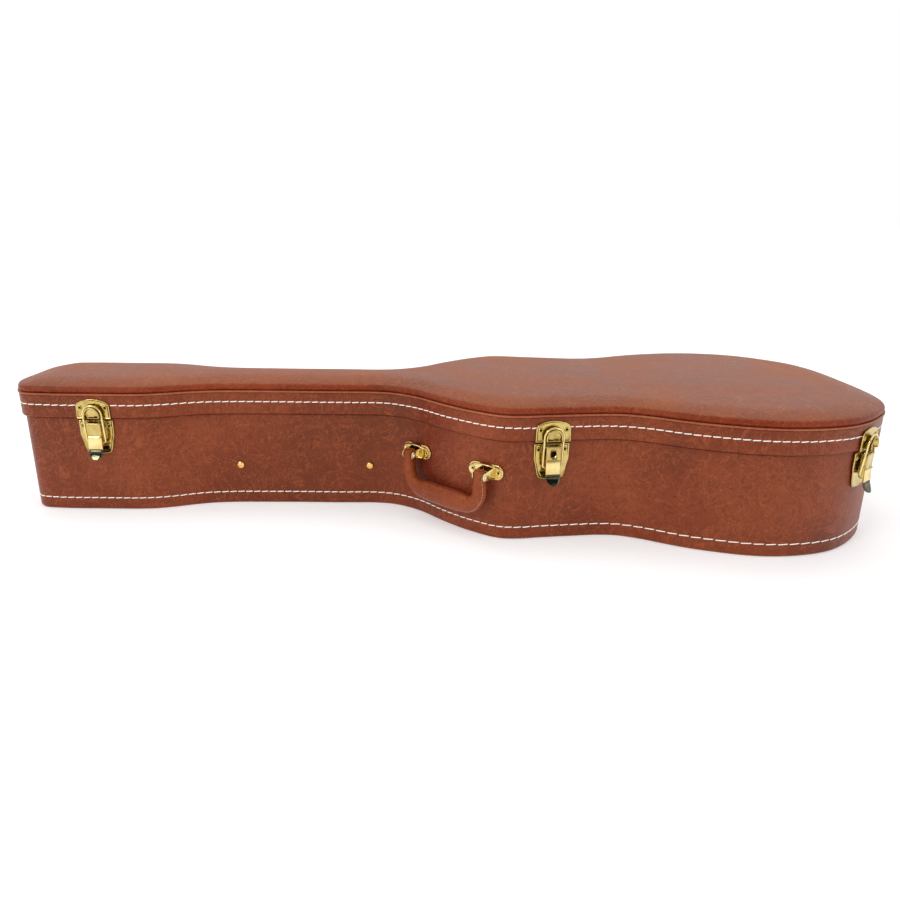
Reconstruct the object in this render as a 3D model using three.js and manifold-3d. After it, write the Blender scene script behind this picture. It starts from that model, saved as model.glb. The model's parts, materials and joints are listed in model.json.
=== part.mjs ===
import * as THREE from 'three';
import { mergeVertices } from 'three/addons/utils/BufferGeometryUtils.js';
import Module from 'manifold-3d';

// A hard-shell acoustic guitar case, lying flat and closed.
// Millimetres. X runs from the head end (-X) to the tail end (+X), -Y is the
// front with the handle and latches, +Z is up. Z = 0 is the underside.

// ---- shell ------------------------------------------------------------------
const LENGTH = 1100;
const BASE_STEP = 4;          // the lid stands this far out past the base wall
const BASE_TOP = 124.6;       // top edge of the base wall
const LID_EDGE = 125;         // lower edge of the lid wall
const LID_WALL_TOP = 153.6;
const WELT_TOP = 156.2;
const RIM_TOP = 163.5;        // where the lid's rounded edge would meet a flat top
const RIM_RADIUS = 4;
const ARCH = 7;               // rise of the lid top above its rim
const ARCH_REACH = 46;        // distance in from the edge over which it rises
const BOARD = 6.5;            // thickness of the lid and base boards
const BASE_RADIUS = 3;        // rounded lower edge of the base
const BASE_BOARD = 9;         // thickness of the base board
const WALL = 6;               // base wall thickness
const LID_WALL = 9;           // lid wall thickness, padding included
const LINER = 4;              // plush-covered card liner of the base
const LINER_TOP = 133;        // the liner stands up into the lid
const GAP = 0.3;              // air between neighbouring pieces

// Half of the lid's outline, as [distance from mid length, half width].
const HALF_OUTLINE = [
  [-549, 41], [-543, 57], [-529, 75], [-503, 80.5], [-448, 81.5], [-377, 79.5],
  [-306, 57.5], [-224, 53], [-143, 53], [-73, 55], [-36, 76], [0, 115], [36, 147], [73, 167],
  [143, 160], [214, 155.5], [295, 192], [377, 212], [458, 197], [514, 152], [541, 107],
];
const STEPS = 3;              // points drawn per stretch of outline
const EDGE_INSET = 15;
const SPINE = [-480, 400];    // the stretch of centre line that the middle is drawn in to

// ---- fittings ---------------------------------------------------------------
const LATCHES = { head: -440.5, waist: 127, tail: 488 };
const LATCH_PLATE = { width: 43, thick: 1.2 };
const LEVER = { pivotZ: 118.2, pivotN: 2, halfWidth: 8.9, sheet: 1.2, bailZ: 94, lockZ: 111.2 };
const BAIL = { wire: 1.3, halfWidth: 11.5, topZ: 142, topN: 6 };
const PIN_RADIUS = 1.3;
const HINGE = { radius: 2.6, offset: 3.4, width: 40, sheet: 1.2, pin: 1.2, slope: 0.15 };
const HINGE_PLACES = { head: -496, upper: 84, lower: 360 };
const HANDLE = { left: -33, right: 51, pinZ: 82, halfSpan: 59, drop: 40, standOff: 15 };
const HANDLE_EAR = { inner: 7.6, sheet: 1.6 };
const SCREW_PLACES = [-270, -98];
const SCREW_Z = 54;
const FOOT_PLACES = [-470, 60, 385];

// ---- inside -----------------------------------------------------------------
const FLOOR_PAD_TOP = 18;
const SIDE_PAD_TOP = 118;
const SIDE_PAD = 16;
const BOX = { x0: -262, x1: -103, half: 33, top: 72, wall: 4, hingeY: 27.5 };

// ---- materials --------------------------------------------------------------
function material(colour, roughness, metalness) {
  return () => new THREE.MeshStandardMaterial({ color: colour, roughness, metalness });
}
const LEATHER = material(0x8a4531, 0.45, 0);
const LEATHER_EDGE = material(0x96492f, 0.42, 0);
const BRASS = material(0xdcb863, 0.22, 1);
const STEEL = material(0x9a9488, 0.35, 1);
const PLUSH = material(0x5b1e2a, 0.95, 0);
const PLUSH_PAD = material(0x66242f, 0.95, 0);
const RUBBER = material(0x1d1b1a, 0.8, 0);
const RIBBON = material(0x3d1620, 0.8, 0);

const group = new THREE.Group();
group.name = 'guitar_case';

function add(name, geometry, makeMaterial) {
  const mesh = new THREE.Mesh(geometry, makeMaterial());
  mesh.name = name;
  group.add(mesh);
}

// ---- solid helpers ----------------------------------------------------------
const wasm = await Module();
wasm.setup();

function bare(geometry) {
  const plain = new THREE.BufferGeometry();
  plain.setAttribute('position', geometry.getAttribute('position').clone());
  if (geometry.index) plain.setIndex(geometry.index.clone());
  return mergeVertices(plain, 1e-4);
}

function solid(geometry) {
  const plain = bare(geometry);
  return new wasm.Manifold(new wasm.Mesh({
    numProp: 3,
    vertProperties: new Float32Array(plain.getAttribute('position').array),
    triVerts: new Uint32Array(plain.index.array),
  }));
}

function surface(manifold) {
  const mesh = manifold.getMesh();
  const geometry = new THREE.BufferGeometry();
  geometry.setAttribute('position', new THREE.BufferAttribute(mesh.vertProperties, 3));
  geometry.setIndex(new THREE.BufferAttribute(mesh.triVerts, 1));
  const flat = geometry.toNonIndexed();
  flat.computeVertexNormals();
  return flat;
}

function joined(...geometries) {
  return geometries.map(solid).reduce((sum, next) => sum.add(next));
}

function signedVolume(geometry) {
  const p = geometry.getAttribute('position');
  const a = new THREE.Vector3();
  const b = new THREE.Vector3();
  const c = new THREE.Vector3();
  let volume = 0;
  for (let i = 0; i < geometry.index.count; i += 3) {
    a.fromBufferAttribute(p, geometry.index.getX(i));
    b.fromBufferAttribute(p, geometry.index.getX(i + 1));
    c.fromBufferAttribute(p, geometry.index.getX(i + 2));
    volume += a.dot(b.cross(c)) / 6;
  }
  return volume;
}

// A mesh from points and triangles, turned so that its faces look outwards.
function closedMesh(points, triangles) {
  const geometry = new THREE.BufferGeometry();
  geometry.setAttribute('position', new THREE.Float32BufferAttribute(points.flat(), 3));
  geometry.setIndex(triangles.flat());
  if (signedVolume(geometry) < 0) geometry.setIndex(triangles.map(([a, b, c]) => [a, c, b]).flat());
  geometry.computeVertexNormals();
  return geometry;
}

function prism(shape, depth, curveSegments = 8) {
  return new THREE.ExtrudeGeometry(shape, { depth, bevelEnabled: false, curveSegments });
}

function block(x0, x1, y0, y1, z0, z1) {
  const box = new THREE.BoxGeometry(x1 - x0, y1 - y0, z1 - z0);
  return box.translate((x0 + x1) / 2, (y0 + y1) / 2, (z0 + z1) / 2);
}

// A round bar along X, centred on the given point.
function barX(radius, x0, x1, y, z, sides = 10) {
  const bar = new THREE.CylinderGeometry(radius, radius, x1 - x0, sides);
  return bar.rotateZ(Math.PI / 2).translate((x0 + x1) / 2, y, z);
}

// ---- the outline ------------------------------------------------------------
function outlineCurve() {
  const back = HALF_OUTLINE.map(([x, w]) => new THREE.Vector3(x, w, 0));
  const front = HALF_OUTLINE.map(([x, w]) => new THREE.Vector3(x, -w, 0)).reverse();
  const head = new THREE.Vector3(-LENGTH / 2, 0, 0);
  const tail = new THREE.Vector3(LENGTH / 2, 0, 0);
  return new THREE.CatmullRomCurve3([head, ...back, tail, ...front], true, 'centripetal');
}
const CURVE = outlineCurve();
const OUTLINE_COUNT = STEPS * CURVE.points.length;

// Points and outward normals round the lid, starting at the head end.
function outlineSamples(count) {
  const samples = [];
  for (let i = 0; i < count; i += 1) {
    const point = CURVE.getPoint(i / count);
    const tangent = CURVE.getTangent(i / count);
    samples.push({ point, tangent, normal: new THREE.Vector3(-tangent.y, tangent.x, 0) });
  }
  return samples;
}
const SAMPLES = outlineSamples(OUTLINE_COUNT);
const FINE_SAMPLES = outlineSamples(OUTLINE_COUNT * 8);

// The outline moved in square to itself, and from EDGE_INSET on towards the spine.
function insetPoints(inset, samples = SAMPLES) {
  const square = Math.min(inset, EDGE_INSET);
  return samples.map(({ point, normal }) => {
    const edge = new THREE.Vector2(point.x - normal.x * square, point.y - normal.y * square);
    const spine = new THREE.Vector2(THREE.MathUtils.clamp(edge.x, SPINE[0], SPINE[1]), 0);
    const inwards = spine.sub(edge).normalize();
    return edge.addScaledVector(inwards, inset - square);
  });
}

// The same, without the points that a tight corner pushes past each other.
function cleanInset(inset) {
  const square = SAMPLES.map(({ point, normal }) => new THREE.Vector2(
    point.x - normal.x * inset, point.y - normal.y * inset));
  return square.filter((p) => FINE_SAMPLES.every(
    ({ point }) => Math.hypot(p.x - point.x, p.y - point.y) > inset - 0.15));
}

// A ring round the case: a closed profile of [inset, z] carried round the outline.
function ringAround(profile) {
  const points = [];
  const triangles = [];
  const count = SAMPLES.length;
  for (const [inset, z] of profile) {
    for (const p of insetPoints(inset)) points.push([p.x, p.y, z]);
  }
  for (let j = 0; j < profile.length; j += 1) {
    const next = (j + 1) % profile.length;
    for (let i = 0; i < count; i += 1) {
      const k = (i + 1) % count;
      triangles.push([j * count + i, next * count + i, next * count + k]);
      triangles.push([j * count + i, next * count + k, j * count + k]);
    }
  }
  return closedMesh(points, triangles);
}

// A board: outlines at several insets and heights, skinned, with a flat cap at each end.
function board(levels) {
  const points = [];
  const triangles = [];
  const count = SAMPLES.length;
  for (const [inset, z] of levels) {
    for (const p of insetPoints(inset)) points.push([p.x, p.y, z]);
  }
  for (let j = 0; j + 1 < levels.length; j += 1) {
    for (let i = 0; i < count; i += 1) {
      const k = (i + 1) % count;
      triangles.push([j * count + i, (j + 1) * count + i, (j + 1) * count + k]);
      triangles.push([j * count + i, (j + 1) * count + k, j * count + k]);
    }
  }
  const last = (levels.length - 1) * count;
  for (const [a, b, c] of capTriangles(levels[0][0])) triangles.push([a, b, c]);
  for (const [a, b, c] of capTriangles(levels.at(-1)[0])) triangles.push([last + a, last + c, last + b]);
  return closedMesh(points, triangles);
}

// A flat cap over one outline, its triangles wound the way the outline runs.
function capTriangles(inset) {
  const outline = insetPoints(inset);
  const clockwise = THREE.ShapeUtils.isClockWise(outline);
  return THREE.ShapeUtils.triangulateShape(outline, []).map(([a, b, c]) => {
    const same = THREE.ShapeUtils.isClockWise([outline[a], outline[b], outline[c]]) === clockwise;
    return same ? [a, b, c] : [a, c, b];
  });
}

function archRise(inset) {
  const reach = Math.min(inset, ARCH_REACH) / ARCH_REACH;
  return ARCH * (1 - (1 - reach) ** 2);
}

// ---- frames on the walls ----------------------------------------------------
// A frame standing on the wall of the given inset: x along the wall, y up, z outwards.
// It is moved out until the wall leaves room for a flat plate of the given half width.
function wallFrame(x, inset, halfWidth, side = -1) {
  const onSide = FINE_SAMPLES.filter(({ point }) => Math.sign(point.y) === side);
  const near = (a, b) => (Math.abs(a.point.x - x) < Math.abs(b.point.x - x) ? a : b);
  const { point, normal } = onSide.reduce(near);
  const across = new THREE.Vector3(0, 0, 1).cross(normal);
  let proud = -inset;
  for (const sample of FINE_SAMPLES) {
    const offset = sample.point.clone().addScaledVector(sample.normal, -inset).sub(point);
    if (Math.abs(offset.dot(across)) < halfWidth && offset.length() < 3 * halfWidth) {
      proud = Math.max(proud, offset.dot(normal));
    }
  }
  const origin = point.clone().addScaledVector(normal, proud);
  return new THREE.Matrix4()
    .makeBasis(across, new THREE.Vector3(0, 0, 1), normal)
    .setPosition(origin);
}

// ---- shell ------------------------------------------------------------------
function roundedEdge(radius, inset, centreZ, from, to, steps) {
  const levels = [];
  for (let i = 0; i <= steps; i += 1) {
    const angle = THREE.MathUtils.degToRad(from + ((to - from) * i) / steps);
    levels.push([inset + radius * (1 - Math.cos(angle)), centreZ + radius * Math.sin(angle)]);
  }
  return levels;
}

function baseBoard() {
  const foot = roundedEdge(BASE_RADIUS, BASE_STEP, BASE_RADIUS, -90, 0, 3);
  return board([...foot, [BASE_STEP, BASE_BOARD + GAP]]);
}

function baseWall() {
  const bottom = BASE_BOARD + 2 * GAP;
  return ringAround([
    [BASE_STEP, bottom], [BASE_STEP, BASE_TOP - 1.5], [BASE_STEP + 1.5, BASE_TOP],
    [BASE_STEP + WALL, BASE_TOP], [BASE_STEP + WALL, bottom],
  ]);
}

function baseLiner() {
  const outer = BASE_STEP + WALL + GAP;
  const bottom = BASE_BOARD + 2 * GAP;
  return ringAround([
    [outer, bottom], [outer, LINER_TOP - 1], [outer + 1, LINER_TOP],
    [outer + LINER, LINER_TOP], [outer + LINER, bottom],
  ]);
}

function lidWall() {
  return ringAround([
    [1.8, LID_EDGE], [0, LID_EDGE + 1.8], [0, LID_WALL_TOP],
    [LID_WALL, LID_WALL_TOP], [LID_WALL, LID_EDGE],
  ]);
}

function lidWelt() {
  return ringAround([
    [0, LID_WALL_TOP + GAP], [-1.2, (LID_WALL_TOP + WELT_TOP) / 2], [0, WELT_TOP - GAP],
    [LID_WALL - 1, WELT_TOP - GAP], [LID_WALL - 1, LID_WALL_TOP + GAP],
  ]);
}

function lidTop() {
  const level = (drop) => (inset) => [inset, RIM_TOP + archRise(inset) - drop];
  const underside = [40, 20].map(level(BOARD));
  const edge = roundedEdge(RIM_RADIUS, 0.4, RIM_TOP - RIM_RADIUS, 8, 90, 3)
    .map(([inset, z]) => [inset, z + archRise(inset)]);
  const crown = [22, 40].map(level(0));
  return board([...underside, [6, WELT_TOP], [0.9, WELT_TOP], ...edge, ...crown]);
}

function lidPad() {
  const top = (inset) => RIM_TOP + archRise(inset) - BOARD - 0.5;
  const outer = LID_WALL + GAP;
  return board([
    [outer + 3, 148], [outer, 151], [outer, WELT_TOP - 2], [20, top(20) - 0.5], [40, top(40)],
  ]);
}

// ---- padding ----------------------------------------------------------------
function floorPad() {
  const outer = BASE_STEP + WALL + LINER + 2 * GAP;
  return board([
    [outer, BASE_BOARD + 2 * GAP], [outer, FLOOR_PAD_TOP - 2.3], [outer + 2, FLOOR_PAD_TOP - GAP],
  ]);
}

// A padded wall round one end of the inside, on the given side (1 tail, -1 head) of cutX.
function endPad(thickness, side, cutX) {
  const outer = BASE_STEP + WALL + LINER + 2 * GAP;
  const keep = (p) => side * (p.x - cutX) > 0;
  const crossing = (a, b) => a.clone().lerp(b, (cutX - a.x) / (b.x - a.x));
  const run = (inset) => {
    const edge = cleanInset(inset);
    const at = (i) => edge[(i + edge.length) % edge.length];
    const first = edge.findIndex((p, i) => keep(p) && !keep(at(i - 1)));
    const count = edge.filter(keep).length;
    const kept = edge.map((_, i) => at(first + i)).slice(0, count);
    const start = crossing(at(first - 1), kept[0]);
    const end = crossing(kept[count - 1], at(first + count));
    return [start, ...kept, end];
  };
  const outline = [...run(outer), ...run(outer + thickness).reverse()];
  return prism(new THREE.Shape(outline), SIDE_PAD_TOP - FLOOR_PAD_TOP)
    .translate(0, 0, FLOOR_PAD_TOP);
}

function neckCradle() {
  const x0 = -304;
  const x1 = -272;
  const top = 104;
  const saddle = new THREE.CylinderGeometry(26, 26, 60, 24).rotateZ(Math.PI / 2)
    .translate((x0 + x1) / 2, 0, top);
  return surface(solid(block(x0, x1, -BOX.half, BOX.half, FLOOR_PAD_TOP, top))
    .subtract(solid(saddle)));
}

// ---- accessory compartment --------------------------------------------------
function accessoryBox() {
  const { x0, x1, half, top, wall, hingeY } = BOX;
  const outer = block(x0, x1, -half, half, FLOOR_PAD_TOP, top);
  const room = block(x0 + wall, x1 - wall, wall - half, half - wall, FLOOR_PAD_TOP + wall, top + 9);
  const strip = block(x0, x1, hingeY, half, top - wall, top + wall + GAP);
  return surface(solid(outer).subtract(solid(room)).add(solid(strip)));
}

function accessoryLid() {
  const { x0, x1, half, top, wall, hingeY } = BOX;
  return block(x0, x1, -half, hingeY - GAP, top + GAP, top + GAP + wall);
}

function accessoryTab() {
  const { x0, x1, half, top, wall } = BOX;
  const middle = (x0 + x1) / 2;
  const z0 = top + 2 * GAP + wall;
  return block(middle - 9, middle + 9, -half, 16 - half, z0, z0 + 1.6);
}

// ---- latches ----------------------------------------------------------------
// Drawn in a wall frame on the lid: x across, y height, z outwards from the lid wall.
function strikePlate() {
  const half = LATCH_PLATE.width / 2;
  const shape = new THREE.Shape();
  shape.moveTo(-half, LID_EDGE - 0.8);
  shape.lineTo(half, LID_EDGE - 0.8);
  shape.lineTo(half - 0.8, 143);
  shape.quadraticCurveTo(half - 1.2, 145, half - 3.5, 145.8);
  shape.quadraticCurveTo(0, 154, 3.5 - half, 145.8);
  shape.quadraticCurveTo(1.2 - half, 145, 0.8 - half, 143);
  const plate = prism(shape, LATCH_PLATE.thick, 6).translate(0, 0, GAP);
  const hook = (radius, depth, z) => {
    const arch = new THREE.Shape();
    arch.moveTo(-radius, LID_EDGE + 0.8);
    arch.lineTo(radius, LID_EDGE + 0.8);
    arch.absarc(0, BAIL.topZ - BAIL.halfWidth, radius, 0, Math.PI, false);
    return prism(arch, depth, 12).translate(0, 0, z);
  };
  const saddle = BAIL.halfWidth - BAIL.wire - GAP;
  const body = joined(plate, hook(saddle, 7, 1), hook(saddle + 0.2, 0.8, 7.9));
  const cup = hook(saddle - 2, 8, 3).translate(0, -2, 0);
  return surface(body.subtract(solid(cup)));
}

function latchBasePlate() {
  const half = LATCH_PLATE.width / 2;
  const back = -BASE_STEP + GAP;
  const shape = new THREE.Shape();
  shape.moveTo(-half, BASE_TOP - 3);
  shape.lineTo(-half, 104);
  shape.quadraticCurveTo(-half, 101, 1.5 - half, 98);
  shape.lineTo(-17, 82);
  shape.quadraticCurveTo(-16, 79.4, -13, 78.8);
  shape.quadraticCurveTo(0, 75.4, 13, 78.8);
  shape.quadraticCurveTo(16, 79.4, 17, 82);
  shape.lineTo(half - 1.5, 98);
  shape.quadraticCurveTo(half, 101, half, 104);
  shape.lineTo(half, BASE_TOP - 3);
  const plate = prism(shape, LATCH_PLATE.thick, 5).translate(0, 0, back);
  const ear = (x0) => {
    const side = new THREE.Shape();
    side.moveTo(back + 0.5, LEVER.pivotZ - 5);
    side.lineTo(LEVER.pivotN, LEVER.pivotZ - 3);
    side.absarc(LEVER.pivotN, LEVER.pivotZ, 3, -Math.PI / 2, Math.PI / 2, false);
    side.lineTo(back + 0.5, LEVER.pivotZ + 2.6);
    return prism(side, 1.2, 6).rotateY(-Math.PI / 2).translate(x0 + 1.2, 0, 0);
  };
  const bore = barX(PIN_RADIUS + GAP, -20, 20, LEVER.pivotZ, LEVER.pivotN);
  return surface(joined(plate, ear(-7.4), ear(6.2)).subtract(solid(bore)));
}

function leverPin() {
  return barX(PIN_RADIUS, -9.6, 9.6, LEVER.pivotZ, LEVER.pivotN);
}

// The lever's sheet seen from the side, as [outwards, height].
function leverSheet() {
  const face = LEVER.pivotN + 3.4;
  const t = LEVER.sheet;
  const side = new THREE.Shape();
  side.moveTo(face - 0.4, LEVER.pivotZ + 1.8);
  side.quadraticCurveTo(face + t, LEVER.pivotZ + 2.2, face + t, LEVER.pivotZ + 0.8);
  side.lineTo(face + t, 102.5);
  side.lineTo(face + t + 1, 101.4);
  side.lineTo(face + t + 0.4, 100.2);
  side.lineTo(face + t + 1.6, 85);
  side.quadraticCurveTo(face + t + 2.2, 76, face + t + 7, 69.5);
  side.lineTo(face + 7, 68.9);
  side.quadraticCurveTo(face + 1.2, 76, face + 0.6, 85);
  side.lineTo(face - 0.6, 100.2);
  side.lineTo(face, 102.5);
  side.lineTo(face, LEVER.pivotZ + 0.6);
  const width = 2 * LEVER.halfWidth;
  return prism(side, width, 5).rotateY(-Math.PI / 2).translate(LEVER.halfWidth, 0, 0);
}

function leverFlange(x0) {
  const side = new THREE.Shape();
  const face = LEVER.pivotN + 4;
  side.moveTo(face, LEVER.pivotZ + 2);
  side.lineTo(LEVER.pivotN - 1.5, LEVER.pivotZ + 2);
  side.lineTo(LEVER.pivotN - 2.6, LEVER.pivotZ - 1);
  side.lineTo(LEVER.pivotN - 2.6, 93);
  side.quadraticCurveTo(LEVER.pivotN - 1.5, 90, LEVER.pivotN + 2, 90);
  side.lineTo(face, 90);
  return prism(side, 1.1, 5).rotateY(-Math.PI / 2).translate(x0 + 1.1, 0, 0);
}

function lever(lockable) {
  const front = new THREE.Shape();
  const half = LEVER.halfWidth;
  front.moveTo(-half, 125);
  front.lineTo(-half, 82);
  front.absarc(0, 82, half, Math.PI, 2 * Math.PI, false);
  front.lineTo(half, 125);
  let body = solid(leverSheet()).intersect(solid(prism(front, 40, 10).translate(0, 0, -10)));
  body = body.add(solid(leverFlange(-half))).add(solid(leverFlange(half - 1.1)));
  body = body.subtract(solid(barX(PIN_RADIUS + GAP, -20, 20, LEVER.pivotZ, LEVER.pivotN)));
  body = body.subtract(solid(barX(BAIL.wire + GAP, -20, 20, LEVER.bailZ, LEVER.pivotN)));
  if (lockable) body = body.subtract(solid(lockCylinder(4.2, 0, 20)));
  return surface(body);
}

function lockCylinder(radius, z0, z1) {
  return new THREE.CylinderGeometry(radius, radius, z1 - z0, 20).rotateX(Math.PI / 2)
    .translate(0, LEVER.lockZ, (z0 + z1) / 2);
}

function lockPlug() {
  const hole = new THREE.CylinderGeometry(1.1, 1.1, 6, 10).rotateX(Math.PI / 2)
    .translate(0, LEVER.lockZ + 1.1, LEVER.pivotN + 6);
  const slot = block(-0.5, 0.5, LEVER.lockZ - 2.9, LEVER.lockZ + 1.1, LEVER.pivotN + 3, LEVER.pivotN + 9);
  const face = LEVER.pivotN + 3.4 + LEVER.sheet;
  return surface(solid(lockCylinder(3.9, LEVER.pivotN + 0.5, face + 0.4))
    .subtract(solid(hole)).subtract(solid(slot)));
}

// The wire bail: an arch over the hook, its two ends turned in to the lever.
function bail() {
  const { halfWidth, topZ, topN } = BAIL;
  const archZ = topZ - halfWidth;
  const lean = (topN - LEVER.pivotN) / (topZ - LEVER.bailZ);
  const at = (x, y) => new THREE.Vector3(x, y, LEVER.pivotN + (y - LEVER.bailZ) * lean);
  const path = new THREE.CurvePath();
  const turn = 2;
  const straight = (a, b) => path.add(new THREE.LineCurve3(a, b));
  const bend = (a, b, c) => path.add(new THREE.QuadraticBezierCurve3(a, b, c));
  const inner = 6.4;
  straight(at(-inner, LEVER.bailZ), at(turn - halfWidth, LEVER.bailZ));
  bend(at(turn - halfWidth, LEVER.bailZ), at(-halfWidth, LEVER.bailZ), at(-halfWidth, LEVER.bailZ + turn));
  straight(at(-halfWidth, LEVER.bailZ + turn), at(-halfWidth, archZ));
  const steps = 12;
  const arch = [];
  for (let i = 0; i <= steps; i += 1) {
    const angle = Math.PI * (1 - i / steps);
    arch.push(at(halfWidth * Math.cos(angle), archZ + halfWidth * Math.sin(angle)));
  }
  for (let i = 0; i < steps; i += 1) straight(arch[i], arch[i + 1]);
  straight(at(halfWidth, archZ), at(halfWidth, LEVER.bailZ + turn));
  bend(at(halfWidth, LEVER.bailZ + turn), at(halfWidth, LEVER.bailZ), at(halfWidth - turn, LEVER.bailZ));
  straight(at(halfWidth - turn, LEVER.bailZ), at(inner, LEVER.bailZ));
  return wire(bendPoints(path, 4), BAIL.wire, 8);
}

function bendPoints(path, perBend) {
  const points = [];
  for (const part of path.curves) {
    const count = part.isLineCurve3 ? 1 : perBend;
    for (let i = points.length ? 1 : 0; i <= count; i += 1) points.push(part.getPoint(i / count));
  }
  return points;
}

// A round wire through points, with flat ends.
function wire(points, radius, sides) {
  const frames = points.map((p, i) => {
    const ahead = points[Math.min(i + 1, points.length - 1)].clone().sub(p);
    const behind = p.clone().sub(points[Math.max(i - 1, 0)]);
    return ahead.normalize().add(behind.normalize()).normalize();
  });
  const verts = [];
  const triangles = [];
  const out = new THREE.Vector3(0, 0, 1);
  points.forEach((p, i) => {
    const across = new THREE.Vector3().crossVectors(frames[i], out).normalize();
    const up = new THREE.Vector3().crossVectors(across, frames[i]);
    for (let j = 0; j < sides; j += 1) {
      const angle = (2 * Math.PI * j) / sides;
      const v = p.clone().addScaledVector(across, radius * Math.cos(angle))
        .addScaledVector(up, radius * Math.sin(angle));
      verts.push(v.toArray());
    }
  });
  skin(triangles, points.length, sides);
  return closedMesh(verts, triangles);
}

// Triangles over rings of points, closed with a fan at each end.
function skin(triangles, rings, sides) {
  for (let i = 0; i + 1 < rings; i += 1) {
    for (let j = 0; j < sides; j += 1) {
      const k = (j + 1) % sides;
      triangles.push([i * sides + j, (i + 1) * sides + j, (i + 1) * sides + k]);
      triangles.push([i * sides + j, (i + 1) * sides + k, i * sides + k]);
    }
  }
  const last = (rings - 1) * sides;
  for (let j = 1; j + 1 < sides; j += 1) {
    triangles.push([0, j, j + 1]);
    triangles.push([last, last + j + 1, last + j]);
  }
}

function addLatches() {
  for (const [place, x] of Object.entries(LATCHES)) {
    const frame = wallFrame(x, 0, LATCH_PLATE.width / 2);
    const fit = (geometry) => geometry.applyMatrix4(frame);
    add(`latch_${place}_strike_plate`, fit(strikePlate()), BRASS);
    add(`latch_${place}_base_plate`, fit(latchBasePlate()), BRASS);
    add(`latch_${place}_lever_pin`, fit(leverPin()), STEEL);
    add(`latch_${place}_lever`, fit(lever(place === 'waist')), BRASS);
    add(`latch_${place}_bail`, fit(bail()), BRASS);
    if (place === 'waist') add('lock_plug', fit(lockPlug()), STEEL);
  }
}

// ---- hinges -----------------------------------------------------------------
// All three share one straight axis that lies outside the lid's back wall.
const HINGE_ALONG = new THREE.Vector3(1, HINGE.slope, 0).normalize();
const HINGE_OUT = new THREE.Vector3(-HINGE_ALONG.y, HINGE_ALONG.x, 0);
const HINGE_REACH = HINGE.offset
  + Math.max(...FINE_SAMPLES.map(({ point }) => point.dot(HINGE_OUT)));

function hingeFrame(x) {
  const along = (x + HINGE_REACH * HINGE_ALONG.y) / HINGE_ALONG.x;
  const origin = HINGE_ALONG.clone().multiplyScalar(along).addScaledVector(HINGE_OUT, HINGE_REACH);
  return new THREE.Matrix4()
    .makeBasis(HINGE_ALONG, HINGE_OUT, new THREE.Vector3(0, 0, 1))
    .setPosition(origin.setZ(LID_EDGE));
}

// Drawn in the hinge frame: x along the axis, y outwards, z up from the axis.
const KNUCKLE = HINGE.width / 5;
const LID_KNUCKLES = [-1, 1];
const BASE_KNUCKLES = [-2, 0, 2];

function knuckle(slot) {
  const middle = slot * KNUCKLE;
  return barX(HINGE.radius, middle - KNUCKLE / 2 + 0.2, middle + KNUCKLE / 2 - 0.2, 0, 0, 12);
}

function knuckleArm(slot, y0, y1, z0, z1) {
  const middle = slot * KNUCKLE;
  return block(middle - KNUCKLE / 2 + 0.2, middle + KNUCKLE / 2 - 0.2, y0, y1, z0, z1);
}

function hingeBore() {
  return solid(barX(HINGE.pin + GAP, -HINGE.width, HINGE.width, 0, 0));
}

// A leaf: arms out to the axis, trimmed to the wall, and a flat plate on the wall.
function hingeLeaf(arms, plate, frame, wall) {
  const behind = block(-60, 60, 0, 300, -60, GAP).applyMatrix4(wall);
  const reach = solid(surface(joined(...arms)).applyMatrix4(frame)).subtract(solid(behind));
  const bore = solid(surface(hingeBore()).applyMatrix4(frame));
  return surface(reach.add(solid(plate.applyMatrix4(wall))).subtract(bore));
}

function lidLeaf(frame, wall) {
  const half = HINGE.width / 2;
  const arms = LID_KNUCKLES.flatMap((slot) => [knuckle(slot), knuckleArm(slot, -12, -1, 0, 3.6)]);
  const plate = block(-half, half, LID_EDGE + 3, LID_EDGE + 19, GAP, GAP + HINGE.sheet);
  return hingeLeaf(arms, plate, frame, wall);
}

function baseLeaf(frame, wall) {
  const half = HINGE.width / 2;
  const arms = BASE_KNUCKLES.flatMap((slot) => [knuckle(slot), knuckleArm(slot, -1.4, 0.6, -3.2, 0)]);
  arms.push(block(-half, half, -16, 0.6, -4.2, -3));
  const plate = block(-half, half, LID_EDGE - 24, LID_EDGE - 3, GAP, GAP + HINGE.sheet);
  return hingeLeaf(arms, plate, frame, wall);
}

function hingePin() {
  return barX(HINGE.pin, -HINGE.width / 2 - 1, HINGE.width / 2 + 1, 0, 0);
}

function addHinges() {
  for (const [place, x] of Object.entries(HINGE_PLACES)) {
    const frame = hingeFrame(x);
    const half = HINGE.width / 2;
    const onLid = wallFrame(x, 0, half, 1);
    const onBase = wallFrame(x, BASE_STEP, half, 1);
    add(`hinge_${place}_lid_leaf`, lidLeaf(frame, onLid), BRASS);
    add(`hinge_${place}_base_leaf`, baseLeaf(frame, onBase), BRASS);
    add(`hinge_${place}_pin`, hingePin().applyMatrix4(frame), STEEL);
  }
}

// ---- carrying handle --------------------------------------------------------
// Its frame: x along the line between the two mounts, y up, z outwards.
function handleFrame() {
  const foot = (x) => new THREE.Vector3().setFromMatrixPosition(wallFrame(x, BASE_STEP, 10));
  const left = foot(HANDLE.left);
  const right = foot(HANDLE.right);
  const along = right.clone().sub(left).normalize();
  const out = new THREE.Vector3(along.y, -along.x, 0);
  const middle = left.add(right).multiplyScalar(0.5).addScaledVector(out, HANDLE.standOff);
  return new THREE.Matrix4()
    .makeBasis(along, new THREE.Vector3(0, 0, 1), out)
    .setPosition(middle.setZ(HANDLE.pinZ));
}

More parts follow.
